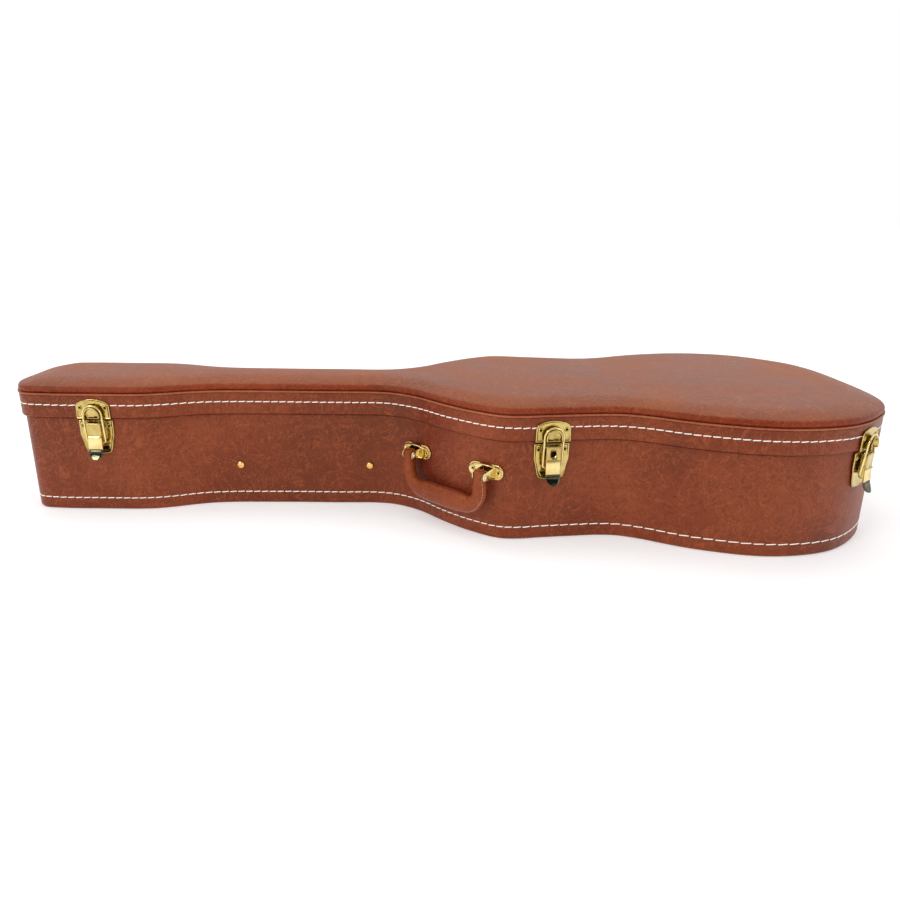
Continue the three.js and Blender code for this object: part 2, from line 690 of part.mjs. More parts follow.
// The grip: an oval bar bent into a U, fuller in the middle, with a bore at each end.
function handleGrip() {
  const { halfSpan, drop } = HANDLE;
  const corner = 22;
  const half = [5.5, -5, -13].map((y) => new THREE.Vector2(halfSpan, y));
  for (let i = 0; i <= 6; i += 1) {
    const angle = (i / 6) * (Math.PI / 2);
    half.push(new THREE.Vector2(
      halfSpan - corner + corner * Math.cos(angle), corner - drop - corner * Math.sin(angle)));
  }
  half.push(new THREE.Vector2(halfSpan * 0.3, -drop - 0.6));
  const mirrored = half.map((p) => new THREE.Vector2(-p.x, p.y)).reverse();
  const spine = [...half, ...mirrored].map((p) => new THREE.Vector3(p.x, p.y, 0));
  const sides = 14;
  const verts = [];
  spine.forEach((p, i) => {
    const ahead = spine[Math.min(i + 1, spine.length - 1)];
    const behind = spine[Math.max(i - 1, 0)];
    const tangent = ahead.clone().sub(behind).normalize();
    const across = new THREE.Vector3(tangent.y, -tangent.x, 0);
    const flare = THREE.MathUtils.smoothstep(-p.y, 5, 14);
    const fullness = THREE.MathUtils.smoothstep(halfSpan - Math.abs(p.x), 0, halfSpan * 0.7);
    for (let j = 0; j < sides; j += 1) {
      const angle = (2 * Math.PI * j) / sides;
      const wide = (6.6 + 2 * flare + 3.6 * fullness) * Math.cos(angle);
      const deep = (7.4 + 1.4 * fullness) * Math.sin(angle);
      verts.push([p.x + across.x * wide, p.y + across.y * wide, deep]);
    }
  });
  const triangles = [];
  skin(triangles, spine.length, sides);
  const bar = solid(closedMesh(verts, triangles));
  return surface(bar.subtract(solid(barX(2.4, -90, 90, 0, 0, 14))));
}

function handlePin(x) {
  const half = HANDLE_EAR.inner + HANDLE_EAR.sheet + 1.2;
  return barX(2.0, x - half, x + half, 0, 0, 14);
}

// One mount: an oval plate on the wall, two ears for the pin and a hood above it.
function handleMount(side, frame, wall) {
  const plateShape = new THREE.Shape();
  plateShape.absarc(14, 0, 9.6, -Math.PI / 2, Math.PI / 2, false);
  plateShape.absarc(-14, 0, 9.6, Math.PI / 2, 1.5 * Math.PI, false);
  const plate = prism(plateShape, 1.4, 8).translate(0, HANDLE.pinZ + 3, GAP).applyMatrix4(wall);
  const x = side * HANDLE.halfSpan;
  const deep = -HANDLE.standOff - 8;
  const { inner, sheet } = HANDLE_EAR;
  const outer = inner + sheet;
  const ear = (x0) => {
    const outline = new THREE.Shape();
    outline.moveTo(deep, -7);
    outline.lineTo(-2, -4.6);
    outline.absarc(0, 0, 4.6, -Math.PI / 2, Math.PI / 4, false);
    outline.lineTo(-2, 10);
    outline.lineTo(deep, 12);
    return prism(outline, sheet, 6).rotateY(-Math.PI / 2).translate(x0 + sheet, 0, 0);
  };
  const hood = new THREE.Shape();
  hood.moveTo(deep, 8.6);
  hood.lineTo(-3.2, 8.6);
  hood.lineTo(-2, 10);
  hood.lineTo(deep, 12);
  const roof = prism(hood, 2 * outer, 4).rotateY(-Math.PI / 2).translate(x + outer, 0, 0);
  const behind = block(-60, 60, 0, 300, -60, GAP).applyMatrix4(wall);
  const bracket = joined(ear(x - outer), ear(x + inner), roof)
    .subtract(solid(barX(2.3, x - 20, x + 20, 0, 0, 14)));
  const placed = solid(surface(bracket).applyMatrix4(frame));
  return surface(placed.subtract(solid(behind)).add(solid(plate)));
}

function addHandle() {
  const frame = handleFrame();
  const walls = { left: HANDLE.left, right: HANDLE.right };
  for (const [place, x] of Object.entries(walls)) {
    const side = place === 'left' ? -1 : 1;
    const wall = wallFrame(x, BASE_STEP, 24);
    add(`handle_mount_${place}`, handleMount(side, frame, wall), BRASS);
    add(`handle_pin_${place}`, handlePin(side * HANDLE.halfSpan).applyMatrix4(frame), STEEL);
  }
  add('handle_grip', handleGrip().applyMatrix4(frame), LEATHER_EDGE);
}

// ---- screws and feet --------------------------------------------------------
function dome(radius, height, edge) {
  const profile = [new THREE.Vector2(0, 0), new THREE.Vector2(radius, 0), new THREE.Vector2(radius, edge)];
  for (let i = 1; i < 4; i += 1) {
    const angle = (i / 4) * (Math.PI / 2);
    profile.push(new THREE.Vector2(
      radius * Math.cos(angle), edge + (height - edge) * Math.sin(angle)));
  }
  profile.push(new THREE.Vector2(0, height));
  return new THREE.LatheGeometry(profile, 16).rotateX(Math.PI / 2);
}

function addScrews() {
  const names = ['head_end', 'body_end'];
  SCREW_PLACES.forEach((x, i) => {
    for (const [face, side] of [['front', -1], ['back', 1]]) {
      const slot = block(-5, 5, -0.5, 0.5, 1.7, 4);
      const head = surface(solid(dome(4.6, 2.5, 0.5)).subtract(solid(slot)));
      head.translate(0, SCREW_Z, GAP).applyMatrix4(wallFrame(x, BASE_STEP, 9, side));
      add(`box_screw_${face}_${names[i]}`, head, BRASS);
    }
  });
}

function addFeet() {
  const names = ['head', 'upper', 'lower'];
  FOOT_PLACES.forEach((x, i) => {
    const foot = bare(dome(9, 12.5, 8)).translate(0, 34, GAP);
    foot.applyMatrix4(wallFrame(x, BASE_STEP, 9, 1));
    foot.computeVertexNormals();
    add(`spine_foot_${names[i]}`, foot, RUBBER);
  });
}

// ---- assembly ---------------------------------------------------------------
add('base_board', baseBoard(), LEATHER);
add('base_wall', baseWall(), LEATHER);
add('base_liner', baseLiner(), PLUSH);
add('floor_pad', floorPad(), PLUSH);
add('body_side_pad', endPad(SIDE_PAD, 1, 12), PLUSH_PAD);
add('head_side_pad', endPad(11, -1, -330), PLUSH_PAD);
add('neck_cradle', neckCradle(), PLUSH_PAD);
add('accessory_box', accessoryBox(), PLUSH);
add('accessory_lid', accessoryLid(), PLUSH);
add('accessory_tab', accessoryTab(), RIBBON);
add('lid_wall', lidWall(), LEATHER);
add('lid_welt', lidWelt(), LEATHER_EDGE);
add('lid_top', lidTop(), LEATHER);
add('lid_pad', lidPad(), PLUSH_PAD);
addLatches();
addHinges();
addHandle();
addScrews();
addFeet();

export default group;
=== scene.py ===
import json
import math

import bmesh
import bpy
from mathutils import Matrix, Vector, noise


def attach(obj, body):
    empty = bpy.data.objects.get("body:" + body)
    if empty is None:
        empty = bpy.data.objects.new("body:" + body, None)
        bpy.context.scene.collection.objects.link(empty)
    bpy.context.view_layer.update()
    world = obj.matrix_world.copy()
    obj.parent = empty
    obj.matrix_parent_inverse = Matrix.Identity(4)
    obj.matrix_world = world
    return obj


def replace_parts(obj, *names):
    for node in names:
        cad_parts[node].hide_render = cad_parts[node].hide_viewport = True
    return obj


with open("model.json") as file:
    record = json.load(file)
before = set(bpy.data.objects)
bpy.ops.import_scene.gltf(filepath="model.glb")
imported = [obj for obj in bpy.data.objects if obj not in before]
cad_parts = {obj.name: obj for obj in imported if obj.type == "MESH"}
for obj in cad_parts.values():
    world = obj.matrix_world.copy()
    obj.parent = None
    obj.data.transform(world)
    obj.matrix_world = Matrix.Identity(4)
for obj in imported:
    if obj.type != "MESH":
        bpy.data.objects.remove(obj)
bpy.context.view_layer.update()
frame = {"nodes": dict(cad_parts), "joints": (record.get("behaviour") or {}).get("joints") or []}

# Everything below is in millimetres until a mesh is made.
MM = 0.001

# Heights, steps and radii, as in the CAD.
LID_EDGE = 125.0
LID_WALL_TOP = 153.6
WELT_TOP = 156.2
RIM_TOP = 163.5
RIM_RADIUS = 4.0
ARCH = 7.0
ARCH_REACH = 46.0
BASE_TOP = 124.6
BASE_STEP = 4.0
BASE_RADIUS = 3.0
BOARD = 9.3

# Sewing.
LID_STITCH_Z = 141.5
BASE_STITCH_Z = 16.0
STITCH_PITCH = 10.5
LONGEST_PITCH = 14.5
STITCH_SHARE = 0.84
THREAD_RADIUS = 0.66
STITCH_SLANT = -0.06

OUTLINE_POINTS = 640


# ---- meshes ----
def linked(name, data):
    """A new object in the scene."""
    obj = bpy.data.objects.new(name, data)
    bpy.context.scene.collection.objects.link(obj)
    return obj


def mesh_object(name, points, faces, material, smooth=True):
    """A mesh from points in millimetres."""
    data = bpy.data.meshes.new(name)
    data.from_pydata([Vector(p) * MM for p in points], [], faces)
    data.validate()
    made = bmesh.new()
    made.from_mesh(data)
    bmesh.ops.recalc_face_normals(made, faces=made.faces)
    made.to_mesh(data)
    made.free()
    for face in data.polygons:
        face.use_smooth = smooth
    data.materials.append(material)
    return linked(name, data)


def strip_faces(rows, columns, close_rows=False, close_columns=False):
    """Quads over a grid of points stored row by row."""
    faces = []
    for i in range(rows if close_rows else rows - 1):
        for j in range(columns if close_columns else columns - 1):
            a, b = i * columns, ((i + 1) % rows) * columns
            k = (j + 1) % columns
            faces.append((a + j, a + k, b + k, b + j))
    return faces


def capped_faces(rows, columns):
    """Quads over a stack of closed rings, with a cap at each end."""
    last = (rows - 1) * columns
    caps = [tuple(range(columns)), tuple(range(last, last + columns))]
    return strip_faces(rows, columns, False, True) + caps


def ease(value):
    """A smooth step from 0 to 1."""
    value = max(0.0, min(1.0, value))
    return value * value * (3 - 2 * value)


# ---- the outline, read from the CAD lid wall ----
def cad_ring(node, height):
    """The CAD points of a node at one height, in order round the case."""
    data = frame["nodes"][node].data
    places = [v.co / MM for v in data.vertices]
    level = [abs(p.z - height) < 0.02 for p in places]
    keys = [(round(p.x, 2), round(p.y, 2)) for p in places]
    beside = {}
    for edge in data.edges:
        a, b = edge.vertices
        if level[a] and level[b] and keys[a] != keys[b]:
            beside.setdefault(keys[a], set()).add(keys[b])
            beside.setdefault(keys[b], set()).add(keys[a])
    start = min(beside)
    ring = [start, max(beside[start], key=lambda p: p[1])]
    while len(ring) < len(beside):
        ring.append(next(p for p in beside[ring[-1]] if p != ring[-2]))
    return [Vector((x, y, 0)) for x, y in ring]


def catmull_rom(p0, p1, p2, p3, t):
    """A point between p1 and p2 on the centripetal curve, as the CAD draws it."""
    d01, d12, d23 = ((b - a).length ** 0.5 for a, b in ((p0, p1), (p1, p2), (p2, p3)))
    m1 = ((p1 - p0) / d01 - (p2 - p0) / (d01 + d12) + (p2 - p1) / d12) * d12
    m2 = ((p2 - p1) / d12 - (p3 - p1) / (d12 + d23) + (p3 - p2) / d23) * d12
    a, b = p1, p2
    return a + m1 * t + (b * 3 - a * 3 - m1 * 2 - m2) * t**2 + (a * 2 - b * 2 + m1 + m2) * t**3


def even_outline(ring, count):
    """The smooth closed curve through the ring, cut at equal steps."""
    fine = []
    for i in range(len(ring)):
        four = [ring[(i + k) % len(ring)] for k in (-1, 0, 1, 2)]
        fine += [catmull_rom(*four, t / 12) for t in range(12)]
    fine.append(fine[0])
    length = sum((b - a).length for a, b in zip(fine, fine[1:]))
    points, walked, target = [], 0.0, 0.0
    for a, b in zip(fine, fine[1:]):
        step = (b - a).length
        while target <= walked + step and len(points) < count:
            points.append(a.lerp(b, (target - walked) / step))
            target += length / count
        walked += step
    return points, length


def outline_normals(points):
    """The directions out of the case, square to the outline at each point."""
    normals = []
    for i in range(len(points)):
        along = points[(i + 1) % len(points)] - points[i - 1]
        normals.append(Vector((-along.y, along.x, 0)).normalized())
    return normals


OUTLINE, PERIMETER = even_outline(cad_ring("lid_wall", LID_EDGE + 1.8), OUTLINE_POINTS)
NORMALS = outline_normals(OUTLINE)
SPINE = (-480, 400)
SQUARE_INSET = 12


def inset_outline(inset):
    """The outline moved in square to itself, and past SQUARE_INSET towards the spine."""
    square = min(inset, SQUARE_INSET)
    moved = []
    for point, normal in zip(OUTLINE, NORMALS):
        edge = point - normal * square
        if inset > square:
            spine = Vector((min(max(edge.x, SPINE[0]), SPINE[1]), 0, 0))
            edge += (spine - edge).normalized() * (inset - square)
        moved.append(edge)
    return moved


def at_distance(distance):
    """A point, normal and tangent on the outline, that far round it."""
    place = (distance / PERIMETER) % 1 * OUTLINE_POINTS
    i, t = int(place), place % 1
    k = (i + 1) % OUTLINE_POINTS
    point = OUTLINE[i].lerp(OUTLINE[k], t)
    normal = NORMALS[i].lerp(NORMALS[k], t).normalized()
    return point, normal, Vector((normal.y, -normal.x, 0))


def outline_points(levels):
    """The outline at each (inset, height)."""
    return [(p.x, p.y, z) for inset, z in levels for p in inset_outline(inset)]


def ring_piece(name, profile, material):
    """A closed profile of (inset, height), carried round the outline."""
    faces = strip_faces(len(profile), OUTLINE_POINTS, True, True)
    return mesh_object(name, outline_points(profile), faces, material)


def board_piece(name, levels, material):
    """Outlines at (inset, height) skinned one to the next, with a cap at each end."""
    faces = capped_faces(len(levels), OUTLINE_POINTS)
    return mesh_object(name, outline_points(levels), faces, material)


def fitted(piece, body, slot, *nodes):
    """A piece riding on its body and standing for its CAD nodes; the slot is not used."""
    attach(piece, body)
    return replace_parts(piece, *nodes) if nodes else piece


def circle(count, start=0.0):
    """Angles at equal steps round a circle."""
    return [start + 2 * math.pi * j / count for j in range(count)]


def sweep(start, end, steps):
    """Angles at equal steps between two that are given in degrees."""
    return [math.radians(start + (end - start) * i / steps) for i in range(steps + 1)]


def round_points(u, z, radius, angles):
    """Points on a circle about (u, z)."""
    return [(u + radius * math.cos(a), z + radius * math.sin(a)) for a in angles]


def arc(inset, z, radius, start, end, steps):
    """Profile points on an arc: 0 degrees faces out of the case, 90 faces up."""
    return [(inset - radius * math.cos(a), z + radius * math.sin(a)) for a in sweep(start, end, steps)]


def groove(inset, z, depth=0.4, half=1.6):
    """Profile points of the shallow valley that a line of sewing pulls in a wall."""
    shape = ((-1, 0), (-0.55, 0.3), (-0.2, 0.95), (0.2, 0.95), (0.55, 0.3), (1, 0))
    return [(inset + depth * d, z + half * s) for s, d in shape]


def arch_rise(inset):
    """How far the lid's arch stands above its rim, this far in."""
    return ARCH * (1 - (1 - min(inset, ARCH_REACH) / ARCH_REACH) ** 2)


# ---- materials ----
# The colour sockets of a Mix node, whose names stand for other kinds of data too.
MIX_A, MIX_B, MIX_OUT = 6, 7, 2


class Nodes:
    """A short way to wire nodes."""

    def __init__(self, owner):
        owner.use_nodes = True
        self.tree = owner.node_tree
        self.coordinates = self.add("ShaderNodeTexCoord").outputs

    def add(self, kind, links=None, **settings):
        node = self.tree.nodes.new(kind)
        for name, value in settings.items():
            setattr(node, name, value)
        for socket, value in (links or {}).items():
            self.put(node.inputs[socket], value)
        return node

    def put(self, socket, value):
        if isinstance(value, bpy.types.NodeSocket):
            self.tree.links.new(value, socket)
        else:
            socket.default_value = value

    def steps(self, value, low, high, out_low=0.0, out_high=1.0):
        made = self.add("ShaderNodeMapRange", {
            "Value": value, "From Min": low, "From Max": high, "To Min": out_low,
            "To Max": out_high}, interpolation_type="SMOOTHSTEP")
        return made.outputs["Result"]

    def math(self, operation, a, b=0.0):
        made = self.add("ShaderNodeMath", {0: a, 1: b}, operation=operation)
        return made.outputs[0]

    def times(self, a, b):
        return self.math("MULTIPLY", a, b)

    def mix(self, factor, a, b, blend="MIX"):
        made = self.add("ShaderNodeMix", data_type="RGBA", blend_type=blend)
        self.put(made.inputs["Factor"], factor)
        for socket, colour in ((MIX_A, a), (MIX_B, b)):
            linked_in = isinstance(colour, bpy.types.NodeSocket)
            self.put(made.inputs[socket], colour if linked_in else (*colour, 1))
        return made.outputs[MIX_OUT]


class Surface(Nodes):
    """The nodes of a material."""

    def __init__(self, name):
        self.material = bpy.data.materials.new(name)
        super().__init__(self.material)
        self.shader = self.tree.nodes["Principled BSDF"]
        self.place = self.coordinates["Object"]

    def set(self, **values):
        for name, value in values.items():
            self.put(self.shader.inputs[name.replace("_", " ")], value)

    def noise(self, scale, detail=3, distortion=0.0, vector=None):
        made = self.add("ShaderNodeTexNoise", {
            "Vector": vector or self.place, "Scale": scale, "Detail": detail,
            "Distortion": distortion})
        return made.outputs["Fac"]

    def stretched(self, scale, vector=None):
        made = self.add("ShaderNodeMapping", {"Vector": vector or self.place, "Scale": scale})
        return made.outputs["Vector"]

    def leaning(self, angle):
        """The place turned about Y, so that a pattern leans on the front wall."""
        made = self.add("ShaderNodeMapping", {"Vector": self.place, "Rotation": (0, angle, 0)})
        return made.outputs["Vector"]

    def warped(self, scale, amount, vector):
        """A vector pushed about by a noise."""
        push = self.add("ShaderNodeTexNoise", {"Vector": vector, "Scale": scale, "Detail": 2})
        made = self.add("ShaderNodeVectorMath", {
            0: push.outputs["Color"], 1: (amount, amount, amount), 2: vector},
            operation="MULTIPLY_ADD")
        return made.outputs["Vector"]

    def cells(self, scale, feature="F1", vector=None):
        made = self.add("ShaderNodeTexVoronoi", {
            "Vector": vector or self.place, "Scale": scale}, feature=feature)
        return made.outputs["Distance"]

    def ramp(self, value, *stops):
        made = self.add("ShaderNodeValToRGB", {"Fac": value})
        ramp = made.color_ramp
        while len(ramp.elements) < len(stops):
            ramp.elements.new(0.5)
        for element, (position, colour) in zip(ramp.elements, stops):
            element.position = position
            element.color = (*colour, 1)
        return made.outputs["Color"]

    def bump(self, height, strength, distance):
        made = self.add("ShaderNodeBump", {
            "Height": height, "Strength": strength, "Distance": distance})
        self.put(self.shader.inputs["Normal"], made.outputs["Normal"])


def between(a, b):
    """The colour half way from one to the other."""
    return tuple((p + q) / 2 for p, q in zip(a, b))


def crease_lines(n, scale, distortion, width):
    """Thin wandering lines, where a noise crosses its middle value."""
    value = n.noise(scale, 7, distortion)
    return n.steps(n.math("ABSOLUTE", n.math("SUBTRACT", value, 0.5)), width, 0.0)


def crease_net(n, scale, width):
    """A net of thin lines round leaning, drawn-out cells, with their directions wandering."""
    drawn = n.stretched((1.8, 1.2, 0.6), n.leaning(-0.6))
    edges = n.cells(scale, "DISTANCE_TO_EDGE", n.warped(45, 0.022, drawn))
    return n.steps(edges, width, width * 0.2)


def leatherette(name, dark, middle, light, shine=0.37, tint=(1.0, 0.96, 0.6), painted_sheen=None):
    """Brown leatherette: clouds, patches, lighter and darker crease lines, streaks and grain, and a painted
    sheen above the rim when one is given.
    """
    n = Surface(name)
    clouds = n.noise(7, 3, 0.8)
    patches = n.noise(34, 5, 1.2)
    creases = crease_lines(n, 26, 3.0, 0.026)
    dark_creases = crease_lines(n, 38, 2.2, 0.03)
    net = n.times(crease_net(n, 185, 0.13), n.steps(patches, 0.42, 0.62, 0.1, 1.0))
    streaks = n.noise(150, 4, 0.6, n.stretched((0.3, 1, 1)))
    speck = n.noise(420, 2)
    layers = (
        (n.steps(patches, 0.4, 0.7, 0.0, 0.4), dark),
        (n.times(dark_creases, 0.6), dark),
        (n.times(net, 0.36), light),
        (n.times(creases, 0.5), light),
        (n.steps(streaks, 0.5, 0.75, 0.0, 0.18), light),
        (n.steps(speck, 0.35, 0.75, 0.0, 0.35), dark))
    colour = n.ramp(clouds, (0.3, dark), (0.5, middle), (0.75, between(middle, light)))
    for share, tone in layers:
        colour = n.mix(share, colour, tone)
    # Painted sheen: above the rim the colour is multiplied lighter and yellower, standing in for the light
    # falling on the lid's top.
    if painted_sheen:
        height = n.add("ShaderNodeSeparateXYZ", {0: n.place}).outputs["Z"]
        above = n.steps(height, (RIM_TOP - 1) * MM, (RIM_TOP + 3) * MM)
        colour = n.mix(above, colour, painted_sheen, "MULTIPLY")
    n.set(Base_Color=colour)
    pebbles = n.cells(620)
    dips = n.times(n.math("ADD", creases, net), 0.8)
    n.bump(n.math("SUBTRACT", n.times(pebbles, 0.9), dips), 0.55, 0.0003)
    n.set(Roughness=n.steps(clouds, 0.3, 0.7, 0.39, 0.47))
    n.set(Specular_IOR_Level=shine, Specular_Tint=(*tint, 1))
    return n.material


def plush(name, deep, tip):
    """Short velvet pile: a soft sheen and a mottled lie of the nap."""
    n = Surface(name)
    nap = n.noise(60, 5, 0.8)
    pile = n.noise(1500, 2)
    colour = n.mix(n.steps(nap, 0.15, 0.85), deep, tip)
    n.set(Base_Color=n.mix(n.steps(pile, 0.3, 0.7, 0.0, 0.4), colour, deep))
    n.set(Roughness=0.95, Sheen_Weight=0.9, Sheen_Roughness=0.35, Specular_IOR_Level=0.1)
    n.set(Sheen_Tint=(*tip, 1))
    n.bump(n.math("ADD", pile, n.times(nap, 0.5)), 0.6, 0.0006)
    return n.material


def polished(name, colour, worn, roughness, dents=0.12):
    """Plated metal: small dents and rub marks in the shine, duller in the hollows."""
    n = Surface(name)
    cloud = n.noise(70, 4, 0.5)
    rub = n.noise(900, 3)
    n.set(Base_Color=n.mix(n.steps(cloud, 0.35, 0.75, 0.0, 0.6), colour, worn))
    n.set(Metallic=1.0)
    n.set(Roughness=n.steps(rub, 0.3, 0.8, roughness, roughness + 0.1))
    n.bump(n.math("ADD", cloud, n.times(rub, 0.02)), dents, 0.0012)
    return n.material


def rubber(name):
    """Matt black rubber, greyer where it has rubbed."""
    n = Surface(name)
    scuff = n.noise(240, 5, 0.4)
    n.set(Base_Color=n.ramp(scuff, (0.35, (0.012, 0.012, 0.011)), (0.75, (0.05, 0.048, 0.045))))
    n.set(Roughness=n.steps(scuff, 0.3, 0.7, 0.55, 0.8))
    n.bump(n.noise(1300, 2), 0.3, 0.0002)
    return n.material


def thread(name, dark, light, painted_glow=0.0):
    """Waxed thread with a twist; its glow, when one is given, is painted light."""
    n = Surface(name)
    fuzz = n.noise(1400, 3)
    n.set(Base_Color=n.ramp(fuzz, (0.3, dark), (0.7, light)))
    # The emission is painted light: it makes the thread brighter than its lighting does.
    n.set(Roughness=0.7, Sheen_Weight=0.3, Emission_Color=(*light, 1), Emission_Strength=painted_glow)
    n.bump(fuzz, 0.5, 0.0003)
    return n.material


LEATHER = leatherette(
    "leatherette", (0.112, 0.011, 0.003), (0.184, 0.022, 0.007), (0.385, 0.082, 0.030))
# The lid's top: a copy of the wall's leatherette, lighter in its darker tones and multiplied lighter and
# yellower above the rim; this is painted sheen.
TOP = leatherette(
    "top_leatherette", (0.140, 0.015, 0.004), (0.205, 0.025, 0.009), (0.36, 0.070, 0.030),
    shine=0.22, tint=(1.0, 0.96, 0.5), painted_sheen=(1.15, 1.65, 0.8))
# The piping: a lighter copy of the leatherette, a painted highlight along its round top.
WELT = leatherette(
    "welt_leatherette", (0.25, 0.055, 0.022), (0.34, 0.088, 0.040), (0.50, 0.16, 0.075))
GRIP = leatherette(
    "grip_leatherette", (0.15, 0.019, 0.005), (0.235, 0.034, 0.008), (0.40, 0.085, 0.022))
PLUSH = plush("wine_plush", (0.050, 0.006, 0.011), (0.17, 0.026, 0.045))
PLUSH_PAD = plush("wine_plush_pad", (0.065, 0.009, 0.015), (0.21, 0.034, 0.056))
RIBBON = plush("wine_ribbon", (0.035, 0.008, 0.012), (0.09, 0.02, 0.03))
RUBBER = rubber("black_rubber")
BRASS = polished("gilt_brass", (0.84, 0.68, 0.32), (0.62, 0.40, 0.10), 0.07, 0.4)
# A darker, olive copy of the brass for the plates, the lever shields and the hinge leaves: painted dark
# reflection in their flat fields.
PLATE = polished("gilt_plate", (0.58, 0.44, 0.15), (0.28, 0.18, 0.04), 0.08, 0.8)
# Near-black brass for the curled tips of the levers: a painted dark reflection.
TIP = polished("dark_tip", (0.11, 0.10, 0.06), (0.05, 0.045, 0.03), 0.10, 0.4)
SCREW = polished("gilt_screw", (0.95, 0.60, 0.20), (0.70, 0.36, 0.08), 0.16)
PIN_GILT = polished("pin_gilt", (0.80, 0.74, 0.58), (0.55, 0.48, 0.34), 0.18)
# Near-black metal for the lock plug and the discs in the rivets: painted shade, the dark inside the keyhole
# and the hollow rivets.
LOCK = polished("dark_lock", (0.020, 0.018, 0.014), (0.010, 0.009, 0.008), 0.45)
STEEL = polished("pin_steel", (0.55, 0.53, 0.49), (0.38, 0.36, 0.33), 0.28)
# The white thread glows a little: painted light.
THREAD = thread("white_thread", (0.84, 0.80, 0.72), (1.0, 0.99, 0.92), 0.13)
GRIP_THREAD = thread("grip_thread", (0.42, 0.22, 0.12), (0.66, 0.42, 0.28))


# ---- shells ----
def base_shell():
    """The base's leatherette: flat underside, rounded foot, wall, turned-in top edge and inside."""
    wall = BASE_STEP
    levels = [(38, 0.0), (24, 0.0), (wall + BASE_RADIUS + 1, 0.0)]
    levels += arc(wall + BASE_RADIUS, BASE_RADIUS, BASE_RADIUS, -90, 0, 9)
    levels += groove(wall, BASE_STITCH_Z)
    levels += [(wall, z) for z in (30, 60, 90, 118)]
    levels += arc(wall + 1.6, BASE_TOP - 1.6, 1.6, 0, 90, 4)
    levels += [(wall + 6, BASE_TOP), (wall + 6, BOARD), (38, BOARD)]
    shell = board_piece("base_shell", levels, LEATHER)
    fitted(shell, "base", "leatherette", "base_wall", "base_board")


def lid_band():
    """The lid's side wall, rolled at its lower edge."""
    profile = [(9, LID_EDGE + 0.2)]
    profile += arc(1.8, LID_EDGE + 1.8, 1.8, -90, 0, 5)
    profile += [(0, 132)] + groove(0, LID_STITCH_Z) + [(0, 149)]
    profile += arc(0.9, LID_WALL_TOP - 0.9, 0.9, 0, 90, 3)
    profile += [(9, LID_WALL_TOP)]
    fitted(ring_piece("lid_band", profile, LEATHER), "lid", "leatherette", "lid_wall")


def lid_piping():
    """The thin piped welt between the lid's wall and its top."""
    middle = (LID_WALL_TOP + WELT_TOP) / 2
    profile = [(7, middle - 0.6)]
    profile += arc(0.2, middle, 1.25, -80, 80, 8)
    profile += [(7, middle + 0.6)]
    fitted(ring_piece("lid_piping", profile, WELT), "lid", "leatherette_edge", "lid_welt")


def lid_cover():
    """The arched top, its edge rolled over like a bead above the piping."""
    levels = [(inset, RIM_TOP + arch_rise(inset) - 6.5) for inset in (40, 12)]
    levels += [(9, WELT_TOP + 0.2), (1.6, WELT_TOP)]
    for inset, z in arc(RIM_RADIUS + 0.3, RIM_TOP - RIM_RADIUS, RIM_RADIUS, -6, 90, 12):
        levels.append((inset, z + arch_rise(inset)))
    levels += [(inset, RIM_TOP + arch_rise(inset)) for inset in (7, 9, 12, 16, 21, 27, 33, 40)]
    fitted(board_piece("lid_cover", levels, TOP), "lid", "leatherette", "lid_top")


# ---- sewing ----
STITCH_SIDES = 6
STITCH_RINGS = ((-1.0, 0.45, -0.5), (-0.93, 0.92, 0.0), (-0.4, 1.0, 0.2), (0.4, 1.0, 0.2),
                (0.93, 0.92, 0.0), (1.0, 0.45, -0.5))


def stitch(distance, length, inset, z, slant):
    """One dash of thread lying in the groove, its ends dipping into their holes."""
    _, normal, along = at_distance(distance)
    up = Vector((0, 0, 1))
    direction = (along * math.cos(slant) + up * math.sin(slant)).normalized()
    across = normal.cross(direction)
    points = []
    for reach, thickness, lift in STITCH_RINGS:
        walk = reach * length / 2
        centre, out, _ = at_distance(distance + walk)
        centre = centre - out * (inset + 0.25 - lift * THREAD_RADIUS)
        centre += up * (z + walk * math.sin(slant))
        for angle in circle(STITCH_SIDES):
            side = across * math.cos(angle) + normal * math.sin(angle)
            points.append(centre + side * THREAD_RADIUS * thickness)
    return points


def stitch_places(tail_pitch):
    """Where each stitch lies round the case and how long it is, growing towards the tail."""
    places, walked = [], 0.0
    while walked < PERIMETER:
        x = at_distance(walked)[0].x
        pitch = STITCH_PITCH + (tail_pitch - STITCH_PITCH) * ease((x + 60) / 460)
        places.append((walked + pitch / 2, pitch * STITCH_SHARE))
        walked += pitch
    return [(distance * PERIMETER / walked, length) for distance, length in places]


def sewing(name, inset, z, body, tail_pitch):
    """A line of stitches all the way round the case."""
    points, faces = [], []
    for i, (distance, length) in enumerate(stitch_places(tail_pitch)):
        start = len(points)
        wander = noise.noise((i * 0.37, z, 0.0))
        points += stitch(distance, length, inset, z + 0.25 * wander, STITCH_SLANT + 0.05 * wander)
        dash = capped_faces(len(STITCH_RINGS), STITCH_SIDES)
        faces += [tuple(start + v for v in face) for face in dash]
    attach(mesh_object(name, points, faces, THREAD), body)


# ---- local frames on the case ----
class Place:
    """A local frame: u along, z straight up from the ground, n out of the case."""

    def __init__(self, origin, along):
        self.origin = Vector((origin.x, origin.y, 0))
        self.u = Vector((along.x, along.y, 0)).normalized()
        self.n = Vector((self.u.y, -self.u.x, 0))

    def at(self, u, z, n):
        return self.origin + self.u * u + self.n * n + Vector((0, 0, z))

    def local(self, point):
        """The (u, n) of a point."""
        away = point - self.origin
        return away.dot(self.u), away.dot(self.n)


def pin_place(name, setback=0.0):
    """The frame of a joint's pin, with its origin moved back into the case."""
    joint = next(j for j in frame["joints"] if j["name"] == name)
    place = Place(Vector(joint["pos_m"]) / MM, -Vector(joint["axis"]))
    place.origin -= place.n * setback
    return place


